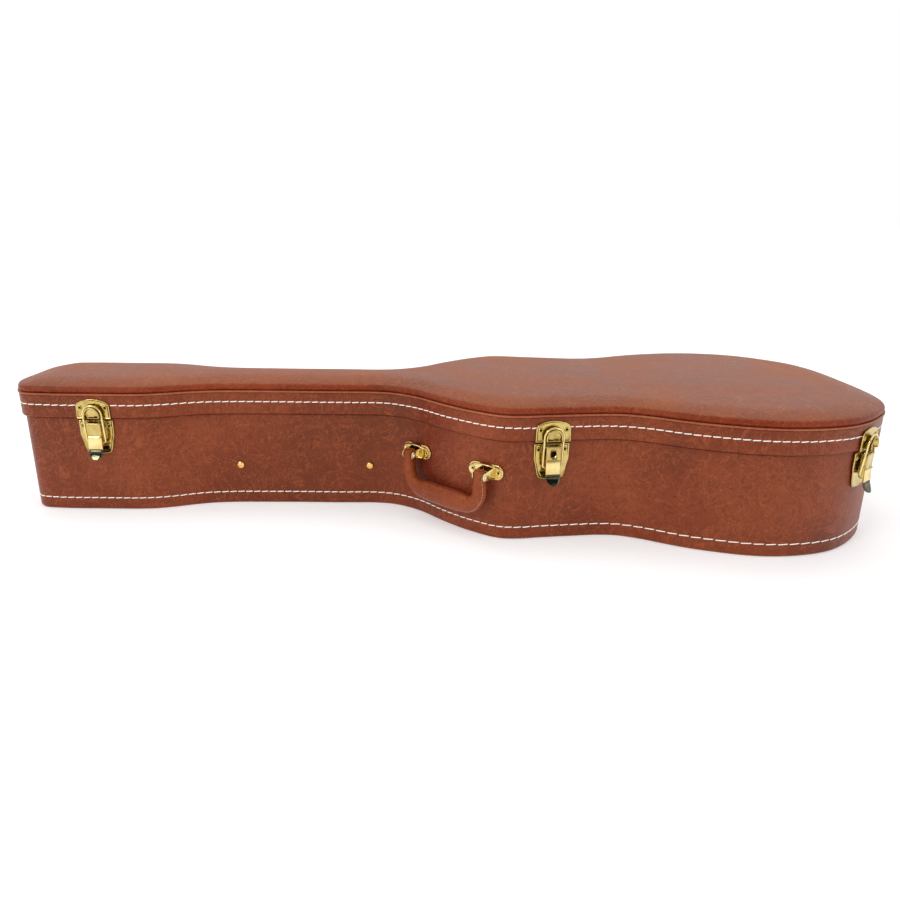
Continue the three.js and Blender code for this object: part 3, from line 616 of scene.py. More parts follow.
def wall_place(x, inset, half, side=-1):
    """The frame against the front (-1) or back (1) wall, clear of it within half a width."""
    around = [(p, q) for p, q in zip(OUTLINE, NORMALS) if p.y * side > 0]
    point, normal = min(around, key=lambda pair: abs(pair[0].x - x))
    place = Place(point, Vector((-normal.y, normal.x, 0)))
    spots = [place.local(p - q * inset) for p, q in around]
    place.origin += place.n * max(n for u, n in spots if abs(u) < half and abs(n) < half)
    return place


# ---- closed forms ----
class Form:
    """Closed parts gathered into one piece."""

    def __init__(self, *parts):
        self.points = []
        self.faces = []
        for part in parts:
            self.add(part)

    def add(self, part):
        points, faces = part
        start = len(self.points)
        self.points += points
        self.faces += [tuple(start + v for v in face) for face in faces]

    def make(self, name, material, body, slot, *nodes):
        return fitted(mesh_object(name, self.points, self.faces, material), body, slot, *nodes)


def skinned(rings):
    """Closed rings skinned one to the next, with a cap at each end."""
    return [p for ring in rings for p in ring], capped_faces(len(rings), len(rings[0]))


def rounded(corners, steps=5):
    """A closed loop through (u, z, radius) corners, each one eased by a curve."""
    loop = []
    for i, (u, z, radius) in enumerate(corners):
        here = Vector((u, z))
        before = Vector(corners[i - 1][:2]) - here
        after = Vector(corners[(i + 1) % len(corners)][:2]) - here
        start, end = here + before.normalized() * radius, here + after.normalized() * radius
        for k in range(steps + 1):
            t = k / steps
            loop.append(start.lerp(here, t).lerp(here.lerp(end, t), t))
    return loop


def inset_loop(loop, inset):
    """A closed anticlockwise loop moved square to itself, inwards."""
    moved = []
    for i, here in enumerate(loop):
        into = (here - loop[i - 1]).normalized()
        out = (loop[(i + 1) % len(loop)] - here).normalized()
        along = (into + out).normalized()
        miter = max(0.6, math.sqrt((1 + into.dot(out)) / 2))
        moved.append(here + Vector((-along.y, along.x)) * inset / miter)
    return moved


def pressed(place, loop, levels):
    """A plate: its outline at each (inset, n), skinned and capped."""
    return skinned([[place.at(p.x, p.y, n) for p in inset_loop(loop, inset)] for inset, n in levels])


def slab(place, loop, u0, u1, edge=0.3):
    """A flat part square to u, from an outline of (n, z), with eased edges."""
    levels = ((edge, u0), (0, u0 + edge), (0, u1 - edge), (edge, u1))
    return skinned([[place.at(u, p.y, p.x) for p in inset_loop(loop, inset)] for inset, u in levels])


def turned(place, u, z, profile, sides=24):
    """A round part about an axis out of the case, from (radius, n) points."""
    return skinned([[place.at(p, q, n) for p, q in round_points(u, z, radius, circle(sides))]
                    for radius, n in profile])


def spindle(place, z, n, profile, sides=24):
    """A round part about an axis along u, from (radius, u) points."""
    return skinned([[place.at(u, q, p) for p, q in round_points(n, z, radius, circle(sides))]
                    for radius, u in profile])


def tube(path, radius, reference, sides=14):
    """A round wire through points that lie near the plane square to the reference."""
    rings = []
    for i, point in enumerate(path):
        tangent = (path[min(i + 1, len(path) - 1)] - path[max(i - 1, 0)]).normalized()
        across = tangent.cross(reference).normalized()
        up = across.cross(tangent)
        rings.append([point + (across * math.cos(a) + up * math.sin(a)) * radius for a in circle(sides)])
    return skinned(rings)


# ---- latches ----
LATCH_HALF = 21.5
PIVOT_Z, PIVOT_N = 118.2, 2.0
BAIL_Z, BAIL_TOP_Z, BAIL_TOP_N = 94.0, 142.0, 6.0
BAIL_HALF, BAIL_WIRE = 11.5, 1.3
LEVER_HALF = 8.9
TONGUE_Z = 82.0
FOLD_ROW, TIP_ROW = 9, 16
LOCK_Z = 111.2
RIM = ((0, 0.0), (0, 0.9), (0.25, 1.4), (0.7, 1.65), (1.2, 1.6), (1.7, 1.25), (2.3, 1.0), (2.8, 0.95))
# The disc set inside each hollow rivet, in near-black: painted shade in the hole.
HOLE_SHADE_DISC = ((0.4, 0.2), (1.55, 0.2), (1.55, 0.45), (0.4, 0.5))
RIVET = ((3.0, 0.0), (3.0, 0.45), (2.75, 0.95), (2.3, 1.2), (1.9, 1.15), (1.6, 0.8), (1.5, 0.3), (0.5, 0.25))


def raised(base, profile, scale=1.0):
    """A profile of (inset or radius, height) stood on a surface."""
    return [(across, base + scale * height) for across, height in profile]


def hook(place):
    """The arch that the bail pulls on: a lip over its outside and a cup open downwards."""
    levels = ((9.9, 1.0), (9.9, 7.7), (10.1, 7.95), (10.1, 8.4), (9.8, 8.7), (9.1, 8.8), (8.4, 8.6),
              (8.0, 8.0), (7.9, 3.6), (7.6, 3.1), (7.0, 3.0))
    foot, centre = LID_EDGE + 0.8, BAIL_TOP_Z - BAIL_HALF
    angles = sweep(180, 0, 20)
    points = []
    for radius, n in levels:
        arch = round_points(0, centre, radius, angles)
        points += [place.at(u, z, n) for u, z in [(-radius, foot), *arch, (radius, foot)]]
    columns, count = len(angles) + 2, len(points)
    faces = strip_faces(len(levels), columns)
    faces += [tuple(range(columns)), tuple(range(count - columns, count))]
    left, right = range(0, count, columns), range(count - 1, 0, -columns)
    faces.append((*left, *right))
    return points, faces


def rivets(form, name, body, place, z, back, spots, scale=1.0):
    """Hollow rivets on a plate, with a near-black disc in each hole as painted shade, made as a piece of its
    own.
    """
    hole_shade = Form()
    for u in spots:
        form.add(turned(place, u, z, raised(back, RIVET, scale)))
        hole_shade.add(turned(place, u, z, raised(back, HOLE_SHADE_DISC, scale), 16))
    hole_shade.make(name, LOCK, body, "gilt_brass")


def strike_plate(latch, place):
    """The lid's half of the latch: a pressed plate with an arched top, two rivets and the hook."""
    foot = LID_EDGE - 0.8
    top = [(u, 150.0 - 3.6 * (u / 17) ** 2, 1.5) for u in (14, 7, 0, -7, -14)]
    corners = [(-LATCH_HALF, foot, 1), (LATCH_HALF, foot, 1), (20.8, 144, 3.4), *top, (-20.8, 144, 3.4)]
    form = Form(pressed(place, rounded(corners), raised(0.3, RIM)), hook(place))
    rivets(form, f"{latch}_strike_rivet_holes", "lid", place, 138.8, 1.1, (-15.6, 15.6))
    form.make(f"{latch}_strike_plate", PLATE, "lid", "gilt_brass", f"latch_{latch}_strike_plate")


def base_plate(latch, place):
    """The base's half: a plate that narrows downwards, two rivets and the ears of the lever pin."""
    back = -BASE_STEP + 0.3
    corners = [(-14.5, 78.8, 3), (0, 77, 4), (14.5, 78.8, 3), (17.2, 84, 2), (19.6, 97, 3),
               (LATCH_HALF, 102, 2), (LATCH_HALF, 121.6, 1)]
    corners += [(-u, z, r) for u, z, r in corners[:2:-1]]
    ear = [(n + PIVOT_N, z + PIVOT_Z, r) for n, z, r in
           ((-5.2, 2.6, 0.3), (-5.2, -5, 0.3), (0, -3.2, 1.5), (3.1, -3, 2.2), (3.1, 3, 2.2))]
    form = Form(pressed(place, rounded(corners), raised(back, RIM)))
    rivets(form, f"{latch}_base_rivet_holes", "base", place, 114.4, back + 0.8, (-16.0, 16.0))
    for u0 in (-7.4, 6.2):
        form.add(slab(place, rounded(ear), u0, u0 + 1.2))
    form.make(f"{latch}_base_plate", PLATE, "base", "gilt_brass", f"latch_{latch}_base_plate")


def lever_half_width(z):
    drop = max(0.0, TONGUE_Z - z)
    return math.sqrt(max(LEVER_HALF**2 - drop**2, 0.4))


def lever(latch, place):
    """The lever: a folded strap with two pressed folds, a curled round tongue and two cheeks."""
    rows = ((120.0, 4.9, 5.7), (119.8, 4.9, 6.8), (119.3, 5.1, 7.3), (118.6, 5.3, 7.3), (117.9, 5.4, 6.8),
            (117.3, 5.4, 6.5), (103.6, 5.4, 6.5), (102.9, 5.3, 6.7), (102.1, 5.1, 7.5), (101.4, 4.9, 7.9),
            (100.7, 4.8, 7.7), (100.1, 4.8, 7.2), (99.4, 4.9, 7.0), (93, 5.4, 7.6), (87.6, 5.9, 8.1),
            (86.8, 6.0, 7.7), (85.8, 6.1, 7.7), (82.7, 6.6, 8.4), (80.4, 7.4, 9.3), (78.6, 8.2, 10.1),
            (77.1, 9.0, 10.9), (75.8, 9.7, 11.6), (74.7, 10.3, 12.3), (73.9, 10.9, 12.8), (73.3, 11.3, 13.1))
    edge = ((-1, 0.0), (-1, 0.55), (-0.97, 0.85), (-0.9, 1.0), (-0.6, 0.97), (0, 0.95),
            (0.6, 0.97), (0.9, 1.0), (0.97, 0.85), (1, 0.55), (1, 0.0))
    rings = []
    for z, back, front in rows:
        half = lever_half_width(z)
        rings.append([place.at(s * half, z, back + t * (front - back)) for s, t in edge])
    cheek = ((5.7, 119.2, 0.5), (0.6, 119.6, 1), (-0.6, 117.2, 1),
             (-0.6, 93, 2), (0.8, 90.2, 2), (6.2, 90, 0.5))
    body = f"{latch}_lever"
    # The shield is in the darker plate brass, a painted dark reflection; the tongue is in the plain brass.
    shield = Form(skinned(rings[:FOLD_ROW + 1]))
    for u0 in (-LEVER_HALF, LEVER_HALF - 1.1):
        shield.add(slab(place, rounded(cheek), u0, u0 + 1.1, 0.2))
    piece = shield.make(f"{latch}_lever_shield", PLATE, body, "gilt_brass", f"latch_{latch}_lever")
    if latch == "waist":
        cut_keyhole(piece, place)
    tongue = Form(skinned(rings[FOLD_ROW:TIP_ROW + 1]))
    tongue.make(f"{latch}_lever_tongue", BRASS, body, "gilt_brass")
    # The curled tip in near-black brass: a painted dark reflection.
    Form(skinned(rings[TIP_ROW:])).make(f"{latch}_lever_tip", TIP, body, "gilt_brass")


def cut_keyhole(piece, place):
    """Cuts the round keyhole and the notch under it out of the lever."""
    round_part = round_points(0, LOCK_Z, 3.4, circle(28, -1.25)[:22])
    foot = LOCK_Z - 6.0
    loop = [Vector(p) for p in [(1.0, foot), *round_part[1:], (-1.0, foot)]]
    points, faces = skinned([[place.at(p.x, p.y, n) for p in loop] for n in (3.5, 9.5)])
    cutter = mesh_object("keyhole_cutter", points, faces, BRASS)
    cut = piece.modifiers.new("keyhole", "BOOLEAN")
    cut.object = cutter
    cut.solver = "EXACT"
    shape = bpy.data.meshes.new_from_object(piece.evaluated_get(bpy.context.evaluated_depsgraph_get()))
    piece.modifiers.clear()
    piece.data = shape
    bpy.data.objects.remove(cutter)


def lock_plug(place):
    """The lock's plug: a round back and two half-round cheeks with the key's slot between them."""
    back = ((4.9, 1.4), (5.2, 1.6), (5.2, 2.4), (4.9, 2.6), (0.5, 2.6))
    form = Form(turned(place, 0, LOCK_Z, back))
    for side in (-1, 1):
        half = [(0.45, LOCK_Z - 3.2), (0.45, LOCK_Z + 3.2)]
        half += round_points(0, LOCK_Z, 3.25, sweep(78, -78, 13))
        loop = [Vector((side * u, z)) for u, z in half]
        loop = loop if side < 0 else loop[::-1]
        form.add(pressed(place, loop, ((0, 2.6), (0, 3.7), (0.25, 3.95))))
    # The plug is near-black so that the keyhole reads dark: painted shade.
    form.make("lock_core", LOCK, "lock", "pin_steel", "lock_plug")


def bail(latch, place):
    """The wire bail, hung in the lever's cheeks and arched over the hook."""
    lean = (BAIL_TOP_N - PIVOT_N) / (BAIL_TOP_Z - BAIL_Z)
    turn, centre = 2.4, BAIL_TOP_Z - BAIL_HALF
    left = [(-6.6, BAIL_Z), (-8.0, BAIL_Z)]
    left += round_points(turn - BAIL_HALF, BAIL_Z + turn, turn, sweep(-90, -180, 5))
    left += [(-BAIL_HALF, z) for z in (106, 118, centre - 2)]
    arch = round_points(0, centre, BAIL_HALF, sweep(180, 0, 24))
    path = left + arch + [(-u, z) for u, z in reversed(left)]
    wire = tube([place.at(u, z, PIVOT_N + (z - BAIL_Z) * lean) for u, z in path], BAIL_WIRE, place.n)
    Form(wire).make(f"{latch}_bail_wire", BRASS, f"{latch}_bail", "gilt_brass", f"latch_{latch}_bail")


def lever_pin(latch, place):
    ends = ((0.7, -9.9), (1.2, -9.6), (1.3, -9.2), (1.3, 9.2), (1.2, 9.6), (0.7, 9.9))
    pin = spindle(place, PIVOT_Z, PIVOT_N, ends, 16)
    Form(pin).make(f"{latch}_pin", STEEL, "base", "pin_steel", f"latch_{latch}_lever_pin")


def add_latches():
    for latch in ("head", "waist", "tail"):
        place = pin_place(f"{latch}_lever_pivot", PIVOT_N)
        strike_plate(latch, place)
        base_plate(latch, place)
        lever(latch, place)
        lever_pin(latch, place)
        bail(latch, place)
        if latch == "waist":
            lock_plug(place)


# ---- carrying handle ----
PIN_Z = 82.0
MOUNT_X = {-1: -33.0, 1: 51.0}
HANDLE_SPAN, HANDLE_DROP, HANDLE_CORNER = 59.0, 40.0, 22.0
EAR_IN, EAR_OUT = 7.6, 9.2
OVAL_SIDE, OVAL_RADIUS = 14.2, 9.4


def grip_spine():
    """The middle of the grip, from above one pin round the U to above the other."""
    half = [(HANDLE_SPAN, y) for y in (5.5, 1, -4, -7, -10, -13, -16)]
    half += round_points(HANDLE_SPAN - HANDLE_CORNER, HANDLE_CORNER - HANDLE_DROP, HANDLE_CORNER,
                         sweep(0, -90, 10))
    half += [(x, -HANDLE_DROP - 0.5 * (1 - x / 33)) for x in (25, 17, 8, 0)]
    return half + [(-x, y) for x, y in reversed(half[:-1])]


def grip_section(spot, angle):
    """Half sizes of the grip, in the plane of the U and outwards, in one direction."""
    flare = ease((-spot.y - 5) / 9)
    full = ease((HANDLE_SPAN - abs(spot.x)) / (HANDLE_SPAN * 0.6))
    wide, deep = 6.4 + 2.0 * flare + 3.8 * full, 7.0 + 1.7 * full
    squarish = 2 / 2.5
    c, s = math.cos(angle), math.sin(angle)
    return (wide * math.copysign(abs(c) ** squarish, c), deep * math.copysign(abs(s) ** squarish, s))


def grip_frames():
    """Each point of the grip's spine with the direction away from the middle of the U."""
    spine = grip_spine()
    frames = []
    for i, (x, y) in enumerate(spine):
        ahead, behind = spine[min(i + 1, len(spine) - 1)], spine[max(i - 1, 0)]
        tangent = Vector((ahead[0] - behind[0], ahead[1] - behind[1])).normalized()
        frames.append((Vector((x, y)), Vector((-tangent.y, tangent.x))))
    return frames


def grip(place):
    """The leather grip: a squarish bar, fuller in the middle, with a sewn edge round its outside."""
    seam = ((-9, 0.0), (-5, 0.35), (-2.5, 1.0), (0, 1.15), (2.5, 1.0), (5, 0.35), (9, 0.0))
    around = [(math.radians(a), lift) for a, lift in seam]
    around += [(math.radians(a), 0.0) for a in range(20, 341, 14)]
    frames = grip_frames()
    folds = ((1.9, 0.42), (1.7, 0.72), (1.1, 0.9), (0.5, 0.98))
    rings = [grip_ring(place, frames[0], around, rise, size) for rise, size in folds]
    rings += [grip_ring(place, middle, around) for middle in frames]
    rings += [grip_ring(place, frames[-1], around, rise, size) for rise, size in reversed(folds)]
    Form(skinned(rings)).make("handle_leather", GRIP, "handle", "grip_leather", "handle_grip")


def grip_ring(place, middle, around, rise=0.0, size=1.0):
    """A ring round the grip, raised and drawn in where the grip's ends fold over."""
    spot, out = middle
    ring = []
    for angle, lift in around:
        wide, deep = grip_section(spot, angle)
        flat = spot + out * (wide + lift) * size
        ring.append(place.at(flat.x, PIN_Z + flat.y + rise, deep * size))
    return ring


def grip_sewing(place):
    """Small stitches along the front of the grip, just inside its outer edge."""
    frames = grip_frames()
    line = []
    for spot, out in frames:
        wide, deep = grip_section(spot, math.radians(24))
        flat = spot + out * wide
        line.append(place.at(flat.x, PIN_Z + flat.y, deep + 0.12))
    form = Form()
    for start, end in dashes(line, 4.0, 2.7):
        form.add(tube([start.lerp(end, t) for t in (0, 0.3, 0.7, 1)], 0.32, place.n, 6))
    form.make("handle_stitching", GRIP_THREAD, "handle", "grip_leather")


def dashes(line, pitch, length):
    """Short straight stretches at an even pitch along a line of points."""
    walked = [0.0]
    for a, b in zip(line, line[1:]):
        walked.append(walked[-1] + (b - a).length)

    def at(distance):
        i = next((k for k in range(1, len(walked)) if walked[k] >= distance), len(walked) - 1)
        return line[i - 1].lerp(line[i], (distance - walked[i - 1]) / (walked[i] - walked[i - 1]))

    count = int(walked[-1] / pitch)
    return [(at(i * pitch + 1), at(i * pitch + 1 + length)) for i in range(count)]


def handle_mount(side, place, wall):
    """An oval plate on the wall, two ears for the pin and a ledge over them."""
    name = "left" if side < 0 else "right"
    middle = PIN_Z + 3.0
    ends = [round_points(u, middle, OVAL_RADIUS, sweep(start, start + 180, 12))
            for u, start in ((OVAL_SIDE, -90), (-OVAL_SIDE, 90))]
    oval = [Vector(p) for end in ends for p in end]
    pin_u = side * HANDLE_SPAN
    form = Form(pressed(wall, oval, raised(0.3, RIM)))
    rivets(form, f"handle_mount_{name}_rivet_holes", "base", wall, middle, 1.1, (-17.4, 17.4), 1.1)
    ear = [(n, PIN_Z + z, r) for n, z, r in
           ((-21, 9, 0.5), (-21, -6, 0.5), (-2, -4.9, 2), (4.6, -4.4, 3.6), (4.6, 4.6, 3.6), (-3, 6.6, 2))]
    for u0, u1 in ((-EAR_OUT, -EAR_IN), (EAR_IN, EAR_OUT)):
        form.add(trimmed(slab(place, rounded(ear), pin_u + u0, pin_u + u1), wall))
    form.add(visor(wall, middle))
    form.make(f"handle_mount_{name}_gilt", BRASS, "base", "gilt_brass", f"handle_mount_{name}")
    head = ((2.0, 0.2), (2.9, 0.2), (3.1, 0.5), (2.7, 1.0), (1.6, 1.3))
    pin = [(r, -EAR_OUT - u) for r, u in reversed(head)] + [(r, EAR_OUT + u) for r, u in head]
    pin = spindle(place, PIN_Z, 0.0, [(r, pin_u + u) for r, u in pin])
    Form(pin).make(f"handle_pin_{name}_steel", PIN_GILT, "base", "pin_steel", f"handle_pin_{name}")


def trimmed(part, wall):
    """A part cut off flush where it would go into the wall."""
    points, faces = part
    kept = []
    for p in points:
        _, out = wall.local(p)
        kept.append(p + wall.n * max(0.0, 0.5 - out))
    return kept, faces


def visor(wall, middle):
    """A ledge turned out along the plate's upper edge, deepest half way along."""
    half = OVAL_SIDE + OVAL_RADIUS - 1.5
    rings = []
    for i in range(29):
        u = -half * math.cos(math.pi * i / 28)
        bow = math.sqrt(max(0.0, 1 - (u / (half + 1)) ** 2))
        z, reach = middle + OVAL_RADIUS * bow, 1.6 + 6.4 * bow**1.5
        section = ((0.5, -2.0), (reach - 0.8, -1.3), (reach, -0.9), (reach + 0.3, -0.3), (reach, 0.3),
                   (reach - 0.8, 0.5), (0.5, 0.3))
        rings.append([wall.at(u, z + rise, n) for n, rise in section])
    return skinned(rings)


def add_handle():
    place = pin_place("handle_swing")
    grip(place)
    grip_sewing(place)
    for side in (-1, 1):
        handle_mount(side, place, wall_place(MOUNT_X[side], BASE_STEP, 24))


# ---- plush-lined inside ----
LINER_OUT = BASE_STEP + 6.3
LINER_TOP = 133.0
PAD_OUT = LINER_OUT + 4.4
FLOOR_TOP = 17.7
CRADLE = (-304.0, -272.0, 33.0, 103.6)
BOX_X, BOX_HALF, BOX_HINGE_Y = (-262.0, -103.0), 33.0, 27.2


def soft(piece, body, slot, node):
    """A padded piece, riding on its body and standing for its CAD node."""
    fitted(piece, body, slot, node)


def liner():
    """The plush wall, its lower edge turned in under the floor cushion."""
    profile = [(LINER_OUT, 9.6), (LINER_OUT, 70), *arc(LINER_OUT + 2, LINER_TOP - 2, 2, 0, 180, 8),
               (LINER_OUT + 4, 70), (LINER_OUT + 4, 10.1), (LINER_OUT + 9, 10.1), (LINER_OUT + 9, 9.6)]
    fitted(ring_piece("plush_liner", profile, PLUSH), "base", "plush", "base_liner")


def floor_cushion():
    levels = [(36, 10.2), (PAD_OUT + 0.5, 10.2), *arc(PAD_OUT + 2.6, FLOOR_TOP - 2.6, 2.6, 0, 80, 5),
              (PAD_OUT + 8, FLOOR_TOP), (36, FLOOR_TOP)]
    soft(board_piece("floor_cushion", levels, PLUSH), "base", "plush_pad", "floor_pad")


def end_cushion(name, node, side, cut_x, thickness):
    """A foam pad standing round one end of the inside, fuller in the middle of its height."""
    section = [(0.2, 18.3), (0.0, 60), (0.0, 112)]
    section += [(3.5 - 3.5 * math.cos(a), 113 + 4.6 * math.sin(a)) for a in (0.5, 1.0, 1.57)]
    inner = [(-3.5, 117.4), (-1.2, 115.6), (0.2, 111), (0.7, 90),
             (0.9, 66), (0.6, 40), (-0.6, 24), (-2.4, 18.4)]
    section += [(thickness + push, z) for push, z in inner]
    rows = [inset_outline(PAD_OUT + inset) for inset, z in section]
    kept = [i for i in range(0, OUTLINE_POINTS, 2) if side * (rows[0][i].x - cut_x) > 0]
    split = next((k for k in range(1, len(kept)) if kept[k] - kept[k - 1] > 2), 0)
    kept = kept[split:] + kept[:split]
    rings = []
    for k, i in enumerate(kept):
        near = min(k, len(kept) - 1 - k)
        round_off = 1 - 0.6 * max(0.0, 1 - near / 3) ** 2
        ring = []
        for row, (inset, z) in zip(rows, section):
            spot = rows[0][i].lerp(row[i], round_off) if inset > 0 else row[i]
            ring.append(Vector((spot.x, spot.y, 18.3 + (z - 18.3) * (0.94 + 0.06 * round_off))))
        rings.append(ring)
    soft(mesh_object(name, *skinned(rings), PLUSH_PAD), "base", "plush_pad", node)


def cradle():
    """The neck rest: a soft block with a round saddle."""
    x0, x1, half, top = CRADLE
    saddle = [(y, z, 1) for y, z in round_points(0, top + 0.4, 26, sweep(-18, -162, 12))]
    corners = [(-half, 18.2, 2), (half, 18.2, 2), (half, top, 3), (26.6, top, 2.4), *saddle,
               (-26.6, top, 2.4), (-half, top, 3)]
    loop = rounded(corners, 4)
    levels = ((3.4, x0), (1.4, x0 + 0.5), (0.3, x0 + 2), (0, x0 + 5), (0, x1 - 5), (0.3, x1 - 2),
              (1.4, x1 - 0.5), (3.4, x1))
    block = skinned([[Vector((x, p.x, p.y)) for p in inset_loop(loop, inset)] for inset, x in levels])
    soft(mesh_object("neck_rest", *block, PLUSH_PAD), "base", "plush_pad", "neck_cradle")


def stacked(y0, y1, radius, levels):
    """An upright form over the box's length, from y0 to y1, drawn in by each (inset, z)."""
    rings = []
    for inset, z in levels:
        x0, x1 = BOX_X[0] + inset, BOX_X[1] - inset
        near, far, corner = y0 + inset, y1 - inset, max(radius - inset, 0.4)
        plan = rounded([(x0, near, corner), (x1, near, corner), (x1, far, corner), (x0, far, corner)])
        rings.append([Vector((p.x, p.y, z)) for p in plan])
    return skinned(rings)


def compartment():
    """The accessory box, its padded lid and the ribbon that lifts it."""
    walls = ((0.6, 18.2), (0, 19), (0, 70.6), (0.4, 71.6), (1.4, 72), (2.8, 72), (3.7, 71.6), (4, 70.6),
             (4, 23.4), (4.6, 22.3), (6, 22))
    strip = ((0.6, 71.4), (0, 72), (0, 75.4), (0.5, 76.2), (1.4, 76.4))
    box = Form(stacked(-BOX_HALF, BOX_HALF, 3, walls),
               stacked(BOX_HINGE_Y + 0.5, BOX_HALF, 1.5, strip))
    box.make("compartment_box", PLUSH, "base", "plush", "accessory_box")
    crown = ((2.2, 72.4), (0.7, 72.7), (0.1, 73.6), (0.3, 74.8),
             (1.3, 75.8), (3.2, 76.4), (8, 76.7), (20, 76.8))
    cover = mesh_object("compartment_cover", *stacked(-BOX_HALF, BOX_HINGE_Y, 4, crown), PLUSH)
    soft(cover, "compartment_lid", "plush", "accessory_lid")
    middle = sum(BOX_X) / 2
    path = [(-16, 77.2), (-20, 77.5), (-27, 77.7), (-32, 77.3), (-34.2, 75.8), (-34.9, 73),
            (-35.1, 66), (-34.9, 61), (-35.4, 60.2), (-35.9, 61), (-36.1, 66), (-35.9, 73.4),
            (-34.9, 76.8), (-32.3, 78.4), (-27, 78.8), (-20, 78.6), (-16, 78.3)]
    rows = []
    for i in range(9):
        x = middle - 9 + 18 * i / 8
        tuck = 0.15 if i in (0, 8) else 0.0
        rows.append([Vector((x, y + tuck, z - tuck)) for y, z in path])
    ribbon = Form(skinned(rows))
    ribbon.make("compartment_ribbon", RIBBON, "compartment_lid", "ribbon", "accessory_tab")


def lid_cushion():
    """The lid's padding, its underside swelling a little away from the edge."""
    levels = [(38, 147.2), (30, 147.3), (22, 147.6), (16, 148.2), (12.4, 149.2), (10.4, 150.6), (9.6, 152.4),
              (9.6, 154.2), (12, 155.4)]
    levels += [(inset, RIM_TOP + arch_rise(inset) - 7.1) for inset in (20, 38)]
    soft(board_piece("lid_cushion", levels, PLUSH_PAD), "lid", "plush_pad", "lid_pad")


def add_inside():
    liner()
    floor_cushion()
    end_cushion("body_cushion", "body_side_pad", 1, 12.0, 16.0)
    end_cushion("head_cushion", "head_side_pad", -1, -330.0, 11.0)
    cradle()
    compartment()
    lid_cushion()


# ---- feet, and the CAD pieces that stay ----
FOOT_X = {"head": -470.0, "upper": 60.0, "lower": 385.0}
FOOT_Z, FOOT_RADIUS = 34, 9


def add_feet():
    """Rubber studs on the spine: a flange, ribs round the body and a sunk screw."""
    profile = [(9.0, 0.3), (9.2, 1.2), (8.9, 2.0)]
    for rib in range(3):
        n = 3.0 + 2.2 * rib
        profile += [(8.2 - 0.2 * rib, n - 0.4), (8.5 - 0.2 * rib, n + 0.6), (8.1 - 0.2 * rib, n + 1.4)]
    profile += [(7.4, 11.2), (6.6, 12.3), (5.4, 12.7), (3.4, 12.6), (3.0, 12.0), (2.9, 9.6), (0.6, 9.4)]
    for name, x in FOOT_X.items():
        stud = Form(turned(wall_place(x, BASE_STEP, FOOT_RADIUS, 1), 0, FOOT_Z, profile, 32))
        stud.make(f"spine_stud_{name}", RUBBER, "base", "rubber_foot", f"spine_foot_{name}")


def dress(node, material, edge=0.25):
    """A CAD piece that stays as it is: its material, and its edges eased."""
    obj = frame["nodes"][node]
    for slot in obj.material_slots:
        slot.material = material
    weld = obj.modifiers.new("weld", "WELD")
    weld.merge_threshold = 0.01 * MM
    bevel = obj.modifiers.new("bevel", "BEVEL")
    bevel.width = edge * MM
    bevel.segments = 2
    bevel.limit_method = "ANGLE"
    bevel.angle_limit = math.radians(35)


HINGE_X = {"head": -496.0, "upper": 84.0, "lower": 360.0}
HINGE_HALF, HINGE_FACE = 20.0, 1.6


def hinge_rivets():
    """Three hollow rivets through each leaf of each hinge."""
    for name, x in HINGE_X.items():
        for body, inset, z in (("lid", 0.0, LID_EDGE + 11), ("base", BASE_STEP, LID_EDGE - 14)):
            form = Form()
            wall = wall_place(x, inset, HINGE_HALF, 1)
            shade_name = f"hinge_{name}_{body}_rivet_holes"
            rivets(form, shade_name, body, wall, z, HINGE_FACE, (-13, 0, 13), 0.8)
            form.make(f"hinge_{name}_{body}_rivets", BRASS, body, "gilt_brass")


def dress_cad():
    """The hinges and screws keep their CAD shapes."""
    for place in ("head", "upper", "lower"):
        dress(f"hinge_{place}_lid_leaf", PLATE)
        dress(f"hinge_{place}_base_leaf", PLATE)
        dress(f"hinge_{place}_pin", STEEL, 0.4)
    for side in ("front", "back"):
        for end in ("head", "body"):
            dress(f"box_screw_{side}_{end}_end", SCREW, 0.2)


# ---- camera, light, floor ----
# The camera stands before the front wall, looking down on it a little; angles in degrees.
CAMERA_PLACE = (-2.9, -978.2, 370.7)
CAMERA_TURN, CAMERA_DIP, CAMERA_ROLL = -0.795, 18.3, 0.78
LENS, SENSOR, LENS_SHIFT = 29.27, 36, 0.0108


def add_camera():
    data = bpy.data.cameras.new("camera")
    data.lens = LENS
    data.sensor_width = SENSOR
    data.shift_y = LENS_SHIFT
    camera = linked("camera", data)
    camera.location = Vector(CAMERA_PLACE) * MM
    turn = Matrix.Rotation(math.radians(CAMERA_TURN), 4, "Z")
    tilt = Matrix.Rotation(math.radians(90 - CAMERA_DIP), 4, "X")
    roll = Matrix.Rotation(math.radians(CAMERA_ROLL), 4, "Z")
    camera.rotation_euler = (turn @ tilt @ roll).to_euler()
    bpy.context.scene.camera = camera


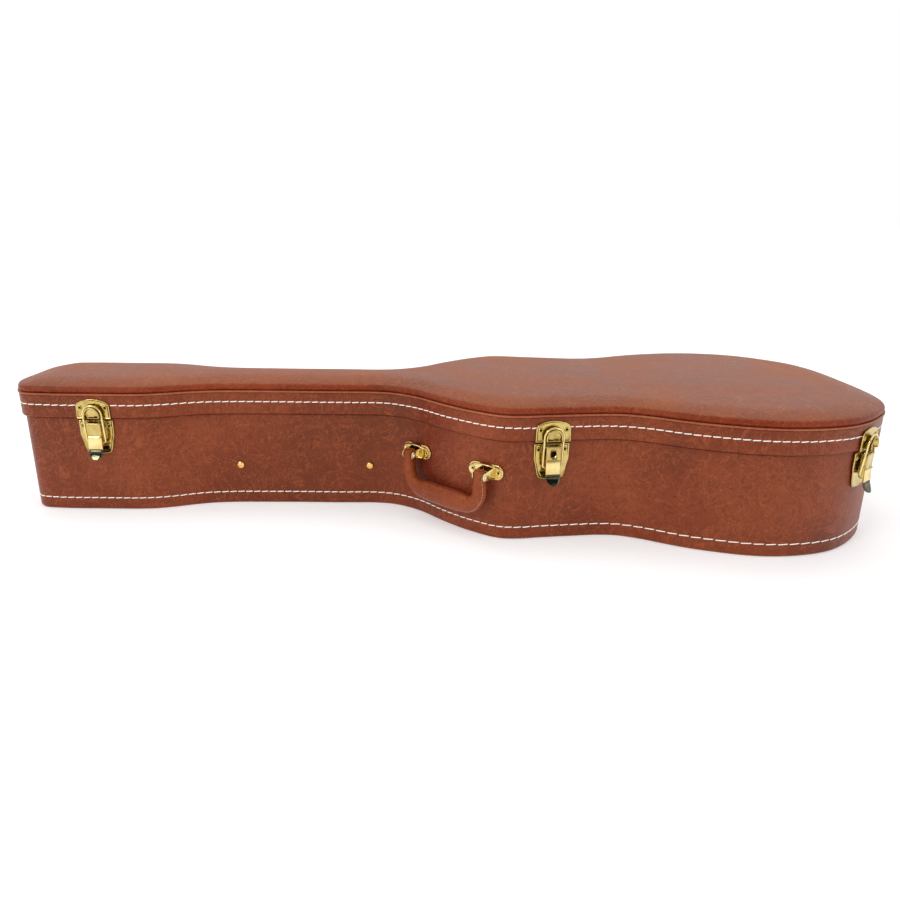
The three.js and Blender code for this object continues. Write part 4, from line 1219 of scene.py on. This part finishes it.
def soft_box(name, location, target, size, power):
    """A white area lamp, places and sizes in metres."""
    data = bpy.data.lights.new(name, "AREA")
    data.shape = "RECTANGLE"
    data.size, data.size_y = size
    data.energy = power
    lamp = linked(name, data)
    lamp.location = location
    aim = Vector(target) - Vector(location)
    lamp.rotation_euler = aim.to_track_quat("-Z", "Y").to_euler()


def add_lights():
    soft_box("overhead", (0, 0.9, 2.2), (0, 0, 0.1), (3.2, 1.6), 14)
    soft_box("key", (-1.6, -1.7, 1.7), (0, 0, 0.08), (0.8, 0.6), 18)
    soft_box("fill", (1.9, -1.5, 1.0), (0, 0, 0.08), (0.7, 0.6), 3)


# Where the sky's dark band begins and where it is full, along each axis of the view.
DARK_EDGES = (("Y", -0.25, -0.75), ("Z", 0.78, 0.6), ("Z", 0.28, 0.36))
DARK_GREY = (0.05, 0.05, 0.05)


def add_world():
    """White all round, with a dark band high behind the camera for the metal to reflect."""
    world = bpy.data.worlds.new("world")
    bpy.context.scene.world = world
    n = Nodes(world)
    way = n.add("ShaderNodeSeparateXYZ", {0: n.coordinates["Generated"]}).outputs
    share = 1.0
    for axis, none, full in DARK_EDGES:
        share = n.times(n.steps(way[axis], none, full), share)
    background = n.tree.nodes["Background"].inputs
    n.put(background["Color"], n.mix(share, (1, 1, 1), DARK_GREY))
    n.put(background["Strength"], 1.0)


FLOOR_HALF, FLOOR_Z = 60000, -0.2


def add_floor():
    """A plain pale floor, lit a little from itself so that it fades into the background."""
    n = Surface("studio_floor")
    n.set(Base_Color=(0.8, 0.8, 0.8, 1), Roughness=0.95, Specular_IOR_Level=0.0)
    n.set(Emission_Color=(1, 1, 1, 1), Emission_Strength=0.32)
    corners = [(x * FLOOR_HALF, y * FLOOR_HALF, FLOOR_Z) for x, y in ((-1, -1), (1, -1), (1, 1), (-1, 1))]
    mesh_object("floor", corners, [(0, 1, 2, 3)], n.material, smooth=False)


# ---- the scene ----
base_shell()
lid_band()
lid_piping()
lid_cover()
sewing("lid_stitching", 0.0, LID_STITCH_Z, "lid", STITCH_PITCH)
sewing("base_stitching", BASE_STEP, BASE_STITCH_Z, "base", LONGEST_PITCH)
add_latches()
add_handle()
add_inside()
add_feet()
hinge_rivets()
dress_cad()
add_camera()
add_lights()
add_world()
add_floor()
bpy.context.scene.view_settings.view_transform = "Standard"
